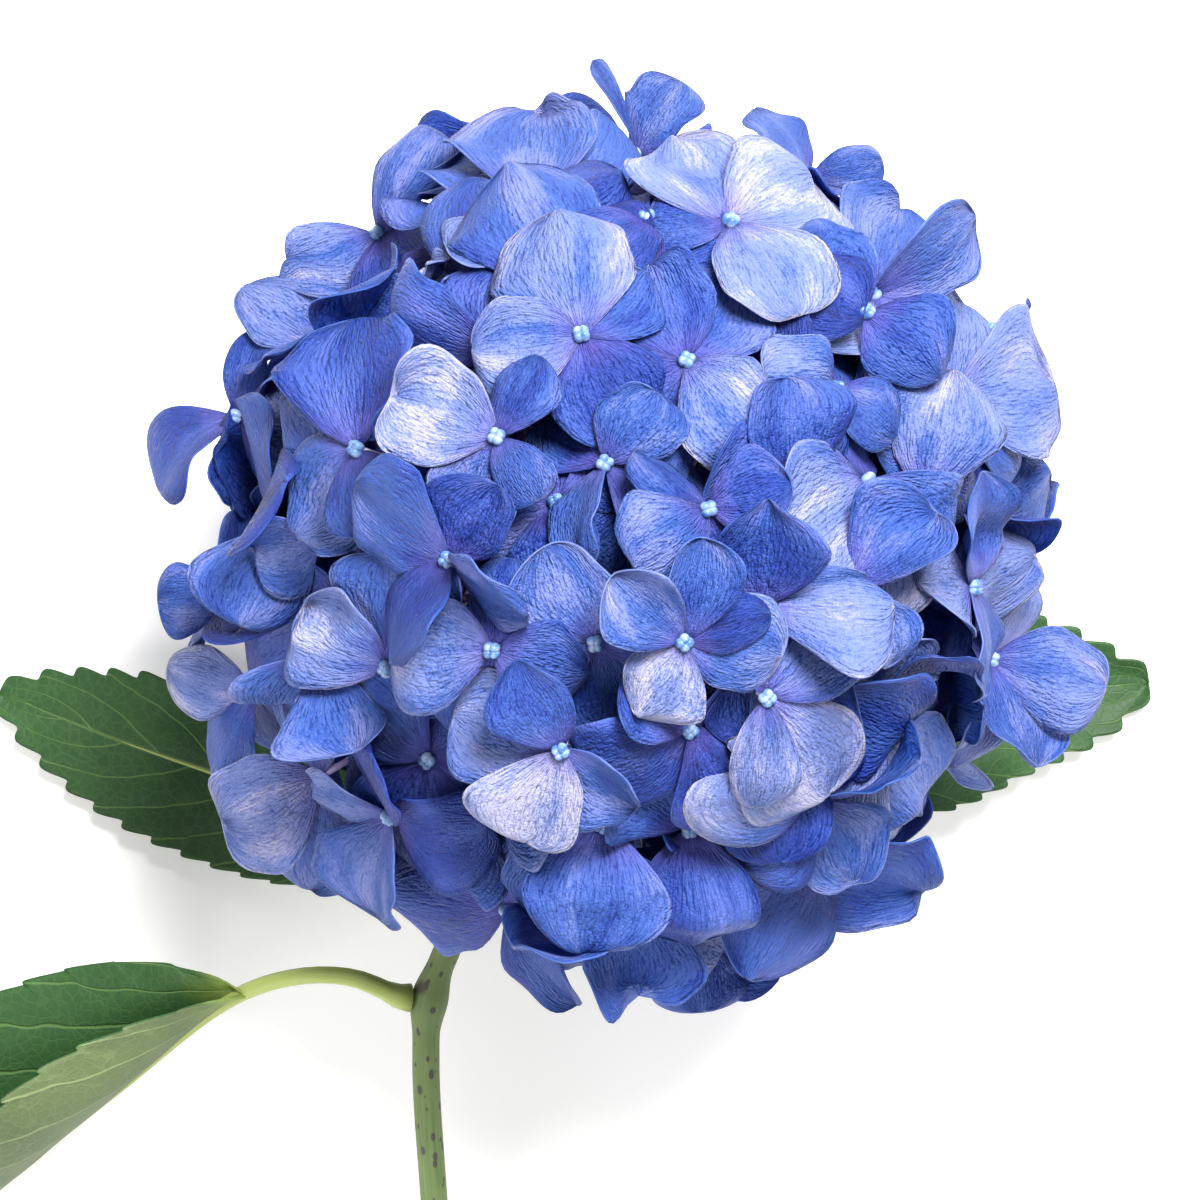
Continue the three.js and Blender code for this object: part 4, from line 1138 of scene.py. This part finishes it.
class Recipe:
    """A material's nodes, each added by one call."""

    def __init__(self, name):
        self.material = bpy.data.materials.new(name)
        self.material.use_nodes = True
        self.tree = self.material.node_tree
        self.tree.nodes.clear()

    def node(self, kind, settings=None, inputs=None, output=0):
        node = self.tree.nodes.new(kind)
        for key, value in (settings or {}).items():
            if key == "stops":
                self.set_stops(node.color_ramp, value)
            else:
                setattr(node, key, value)
        for key, value in (inputs or {}).items():
            if isinstance(value, Value):
                self.tree.links.new(value.socket, node.inputs[key])
            else:
                node.inputs[key].default_value = value
        return Value(self, node.outputs[output] if node.outputs else None)

    @staticmethod
    def set_stops(ramp, stops):
        ramp.interpolation = "EASE"
        while len(ramp.elements) < len(stops):
            ramp.elements.new(0.5)
        for element, (position, code) in zip(ramp.elements, stops):
            element.position, element.color = position, colour(code)

    def mix(self, factor, one, other):
        settings = {"data_type": "RGBA", "clamp_factor": True}
        return self.node("ShaderNodeMix", settings, {0: factor, 6: one, 7: other}, output=2)

    def ramp(self, value, stops):
        return self.node("ShaderNodeValToRGB", {"stops": stops}, {0: value})

    def uv(self):
        """The values across and along the piece's own UV map."""
        across, along, _ = self.split(self.node("ShaderNodeUVMap", {"uv_map": "UVMap"}))
        return across, along

    def tint(self):
        """A sepal's own values: how pale and how violet it is, and where its patterns start."""
        return self.split(self.node("ShaderNodeAttribute", {"attribute_name": "tint"}, output="Color"))

    def split(self, vector):
        first = self.node("ShaderNodeSeparateXYZ", inputs={0: vector})
        return [Value(self, part) for part in first.socket.node.outputs]

    def join(self, x, y, z=0):
        return self.node("ShaderNodeCombineXYZ", inputs={0: x, 1: y, 2: z})

    def place(self):
        return self.node("ShaderNodeTexCoord", output="Object")

    def distance(self, one, other):
        settings = {"operation": "DISTANCE"}
        return self.node("ShaderNodeVectorMath", settings, {0: one, 1: other}, output="Value")

    def noise(self, vector, scale, detail):
        inputs = {"Vector": vector, "Scale": scale, "Detail": detail, "Roughness": 0.55}
        return self.node("ShaderNodeTexNoise", {"noise_dimensions": "3D"}, inputs, output="Fac")

    def cells(self, vector, scale, feature="F1", output="Distance", dimensions="3D"):
        settings = {"feature": feature, "voronoi_dimensions": dimensions}
        inputs = {"Vector": vector, "Scale": scale}
        return self.node("ShaderNodeTexVoronoi", settings, inputs, output)

    def bump(self, height, distance, strength=1.0):
        inputs = {"Height": height, "Distance": metres(distance), "Strength": strength}
        return self.node("ShaderNodeBump", inputs=inputs)

    def surface(self, inputs, glow=None, glow_share=0.0):
        """The finished surface, with the light that shines through it if glow is a colour."""
        shader = self.node("ShaderNodeBsdfPrincipled", inputs=inputs)
        if glow:
            through = self.node("ShaderNodeBsdfTranslucent", inputs={"Color": colour(glow)})
            shader = self.node("ShaderNodeMixShader", inputs={0: glow_share, 1: shader, 2: through})
        self.node("ShaderNodeOutputMaterial", inputs={"Surface": shader})
        return self.material


def colour(code):
    """The linear colour of a hex code."""
    parts = [int(code[i:i + 2], 16) / 255 for i in (1, 3, 5)]
    linear = [p / 12.92 if p <= 0.04045 else ((p + 0.055) / 1.055) ** 2.4 for p in parts]
    return (*linear, 1)


# A sepal's colours, from tone 0 to 1
SEPAL_TONES = [
    (0, "#091F5E"), (0.25, "#113389"), (0.5, "#2D519E"), (0.74, "#6678B4"), (1, "#A8AAC6"),
]


def sepal_material(name, back=False):
    """A sepal: paler to its rim, violet at its claw, with a fan of fine veins, and crinkles with painted
    shade.
    """
    recipe = Recipe(name)
    across, along = recipe.uv()
    tone, violet, phase = recipe.tint()
    phase = phase * 40
    side = (across - 0.5) * 2
    along = 1 - (1 - along) ** TIP_CROWDING
    blotch = recipe.noise(recipe.join(side * 1.6, along * 1.3, phase), 1.0, detail=1.0)
    veins = recipe.noise(recipe.join(side * 26, along * 2.2, phase), 1.0, detail=2.0)
    cells = recipe.cells(recipe.join(side * 19, along * 13, phase), 1.0)
    crinkle = 1 - cells * cells * 1.6
    pebbles = recipe.noise(recipe.place(), 1900, detail=1.0)
    branches = recipe.noise(recipe.join(side * 7, along * 2.4, phase), 1.0, detail=1.0)
    branches = 1 - (branches - 0.5).abs().between(0, 0.035)
    rim = (side.abs().between(0.95, 0.99) + along.between(0.97, 0.99)).clamped()
    # The crinkle term is painted shade in the creases between the crinkles and painted light on their
    # domes.
    shade = tone + blotch - 0.5 + (along - 0.55) * 0.12 + rim * 0.16 - branches * 0.07
    shade = shade + (veins - 0.5) * 0.2 + (crinkle - 0.6) * 0.1 + (pebbles - 0.5) * 0.32
    if back:
        shade = shade * 0.8 + 0.14
    base = recipe.ramp(shade.clamped(), SEPAL_TONES)
    claw = 1 - along.between(0.02, 0.36)
    violet_share = claw * 0.34 + violet * blotch.between(0.45, 0.7) * 0.2 + (0.04 if back else 0.0)
    base = recipe.mix(violet_share.clamped(), base, colour("#7468C8"))
    height = veins * 0.35 + crinkle * 0.3 + pebbles * 0.35 - branches * 0.12
    inputs = {
        "Base Color": base,
        "Roughness": crinkle * 0.25 + 0.42,
        "Normal": recipe.bump(height, 1.1),
        "Specular IOR Level": 0.35,
    }
    return recipe.surface(inputs, glow="#4A62CE", glow_share=0.15)


def rim_material():
    """The thin bright edge of a sepal."""
    recipe = Recipe("sepal_rim")
    tone, _, _ = recipe.tint()
    grain = recipe.noise(recipe.place(), 900, detail=1.0)
    base = recipe.ramp((tone * 0.8 + 0.2 + (grain - 0.5) * 0.2).clamped(), SEPAL_TONES)
    return recipe.surface({"Base Color": base, "Roughness": 0.5}, glow="#8C9CE0", glow_share=0.2)


def bead_material():
    """The closed lobes of a floret's centre: pale blue, deeper in patches."""
    recipe = Recipe("floret_bead")
    grain = recipe.noise(recipe.place(), 500, detail=3.0)
    base = recipe.ramp(grain, [(0.35, "#3A629E"), (0.5, "#6484B4"), (0.62, "#8A9EC2")])
    return recipe.surface({
        "Base Color": base, "Roughness": grain * 0.3 + 0.3, "Normal": recipe.bump(grain, 0.1, 0.5),
    })


def pedicel_material():
    """Floret stalks: lilac, greener in patches."""
    recipe = Recipe("pedicel_skin")
    grain = recipe.noise(recipe.place(), 90, detail=3.0)
    base = recipe.ramp(grain, [(0.35, "#A99BD2"), (0.55, "#B9AEDD"), (0.7, "#9FB48C")])
    return recipe.surface({
        "Base Color": base, "Roughness": grain * 0.2 + 0.4, "Normal": recipe.bump(grain, 0.2, 0.4),
    })


def leaf_material(name, under=False):
    """A leaf's top or underside: side veins, a net of small ones, and the puckers between."""
    recipe = Recipe(name)
    across, along = recipe.uv()
    place = recipe.place()
    side = (across - 0.5) * 2
    reach = side.abs()
    right = side.between(-0.001, 0.001)
    bent = (along - reach**VEIN_CURVE * VEIN_LEAN) * VEIN_COUNT + right * 0.5
    wobble = (recipe.noise(place, 60, detail=2.0) - 0.5) * 0.3
    side_veins = 1 - ((bent + wobble) * math.pi).sin().abs().between(0.03, 0.16)
    midrib = 1 - reach.between(0.008, 0.05)
    lines = (side_veins + midrib).clamped()
    net = 1 - recipe.cells(place, 420, feature="DISTANCE_TO_EDGE").between(0.02, 0.11)
    fine_net = 1 - recipe.cells(place, 1150, feature="DISTANCE_TO_EDGE").between(0.02, 0.2)
    patches = recipe.noise(place, 28, detail=4.0)
    if under:
        base = recipe.ramp(patches, [(0.3, "#4A5A3A"), (0.7, "#5E6E4A")])
        line_colour, net_share, line_share = colour("#8A9A6C"), 0.14, 0.7
    else:
        base = recipe.ramp(patches, [(0.3, "#1F3E22"), (0.55, "#294B29"), (0.75, "#3A5C34")])
        line_colour, net_share, line_share = colour("#648448"), 0.1, 0.5
    base = recipe.mix((net * net_share + fine_net * 0.5 * net_share).clamped(), base, line_colour)
    base = recipe.mix(lines * line_share, base, line_colour)
    stalk_share = (1 - along.between(0, 0.09)) * (1 - reach.between(0.3, 1))
    stalk_share = (stalk_share + 1 - along.between(0.01, 0.035)).clamped()
    base = recipe.mix(stalk_share * 0.8, base, colour("#8CA050"))
    relief = lines * (0.9 if under else -0.9) + net * (0.3 if under else -0.15) + patches * 0.4
    inputs = {
        "Base Color": base,
        "Roughness": patches * 0.2 + (0.5 if under else 0.42),
        "Normal": recipe.bump(relief, 0.5, 0.6),
        "Specular IOR Level": 0.25,
    }
    return recipe.surface(inputs, glow="#86B84A", glow_share=0.12)


def petiole_material():
    """A leaf's stalk and midrib: yellow green with fine streaks."""
    recipe = Recipe("petiole_skin")
    around, along = recipe.uv()
    streaks = recipe.noise(recipe.join(around * 30, along * 12), 1.0, detail=3.0)
    patches = recipe.noise(recipe.place(), 45, detail=3.0)
    shade = streaks * 0.5 + patches * 0.5
    base = recipe.ramp(shade, [(0.3, "#84964A"), (0.55, "#9AAA5C"), (0.75, "#B0BE74")])
    inputs = {
        "Base Color": base,
        "Roughness": patches * 0.2 + 0.35,
        "Normal": recipe.bump(streaks, 0.15, 0.5),
    }
    return recipe.surface(inputs, glow="#B6D060", glow_share=0.08)


def stem_material():
    """The stem's green bark: long streaks, and small dark purple spots along it."""
    recipe = Recipe("stem_bark")
    around, along = recipe.uv()
    place = recipe.place()
    streaks = recipe.noise(recipe.join(around * 24, along * 9), 1.0, detail=4.0)
    patches = recipe.noise(place, 40, detail=3.0)
    shade = streaks * 0.45 + patches * 0.55
    base = recipe.ramp(shade, [(0.3, "#4E6038"), (0.5, "#627448"), (0.7, "#7C8C60")])
    places = recipe.join(around * 7, along * 50)
    size, _, _ = recipe.split(recipe.cells(places, 1.0, output="Color", dimensions="2D"))
    spots = 1 - (recipe.cells(places, 1.0, dimensions="2D") + size * 0.3).between(0.2, 0.3)
    axil = recipe.distance(place, AXIL)
    spots = (spots + 1 - (axil + (patches - 0.5) * 0.004).between(0.0012, 0.0026)).clamped()
    base = recipe.mix(spots * 0.75, base, colour("#3A2A3C"))
    return recipe.surface({
        "Base Color": base,
        "Roughness": patches * 0.25 + 0.5,
        "Normal": recipe.bump(streaks * 0.6 + spots * 0.8, 0.3, 0.6),
        "Specular IOR Level": 0.25,
    })


def floor_material():
    recipe = Recipe("floor_paint")
    base = recipe.ramp(recipe.noise(recipe.place(), 6, detail=2.0), [(0.3, "#FAFAFA"), (0.7, "#FDFDFD")])
    return recipe.surface({
        "Base Color": base, "Roughness": 0.9, "Emission Color": (1, 1, 1, 1), "Emission Strength": 0.2,
    })


def make_floor():
    bm = bmesh.new()
    bmesh.ops.create_grid(bm, x_segments=1, y_segments=1, size=metres(FLOOR_REACH))
    mesh = bpy.data.meshes.new("floor")
    bm.to_mesh(mesh)
    bm.free()
    mesh.materials.append(floor_material())
    floor = bpy.data.objects.new("floor", mesh)
    floor.location.z = metres(-FLOOR_GAP)
    bpy.context.collection.objects.link(floor)


def make_light(name, place, size, power):
    """A soft square light that points at the bloom."""
    light = bpy.data.lights.new(name, "AREA")
    light.shape, light.size, light.energy = "SQUARE", metres(size), power
    light.color = (1, 0.98, 0.95)
    lamp = bpy.data.objects.new(name, light)
    lamp.location = metres(place)
    lamp.rotation_euler = (HEAD_CENTRE - place).to_track_quat("-Z", "Y").to_euler()
    bpy.context.collection.objects.link(lamp)


def make_studio():
    """The camera looks straight down from the eye. The light is soft and comes from behind the top."""
    camera = bpy.data.cameras.new("camera")
    camera.sensor_width = SENSOR
    camera.lens = SENSOR * (EYE.z - HEAD_CENTRE.z) / SEEN_WIDTH
    camera.clip_start, camera.clip_end = 0.01, 50
    viewer = bpy.data.objects.new("camera", camera)
    viewer.location = metres(EYE)
    bpy.context.collection.objects.link(viewer)
    scene = bpy.context.scene
    scene.camera = viewer
    scene.view_settings.view_transform = "Standard"
    make_light("key", Vector((240, 480, 960)), 420, 32.5)
    make_light("fill", Vector((-500, -800, 600)), 900, 9)
    world = bpy.data.worlds.new("studio")
    world.use_nodes = True
    background = world.node_tree.nodes["Background"].inputs
    background["Color"].default_value = (1, 0.985, 0.97, 1)
    background["Strength"].default_value = 0.5
    scene.world = world


make_studio()
make_floor()
STEM_LINE = Line(STEM_POINTS)
FLORETS = make_florets(STEM_LINE)
sepal_pieces(FLORETS)
bead_piece(FLORETS)
stalk_piece(FLORETS)
stem_piece(STEM_LINE)
leaf_pieces(STEM_LINE)
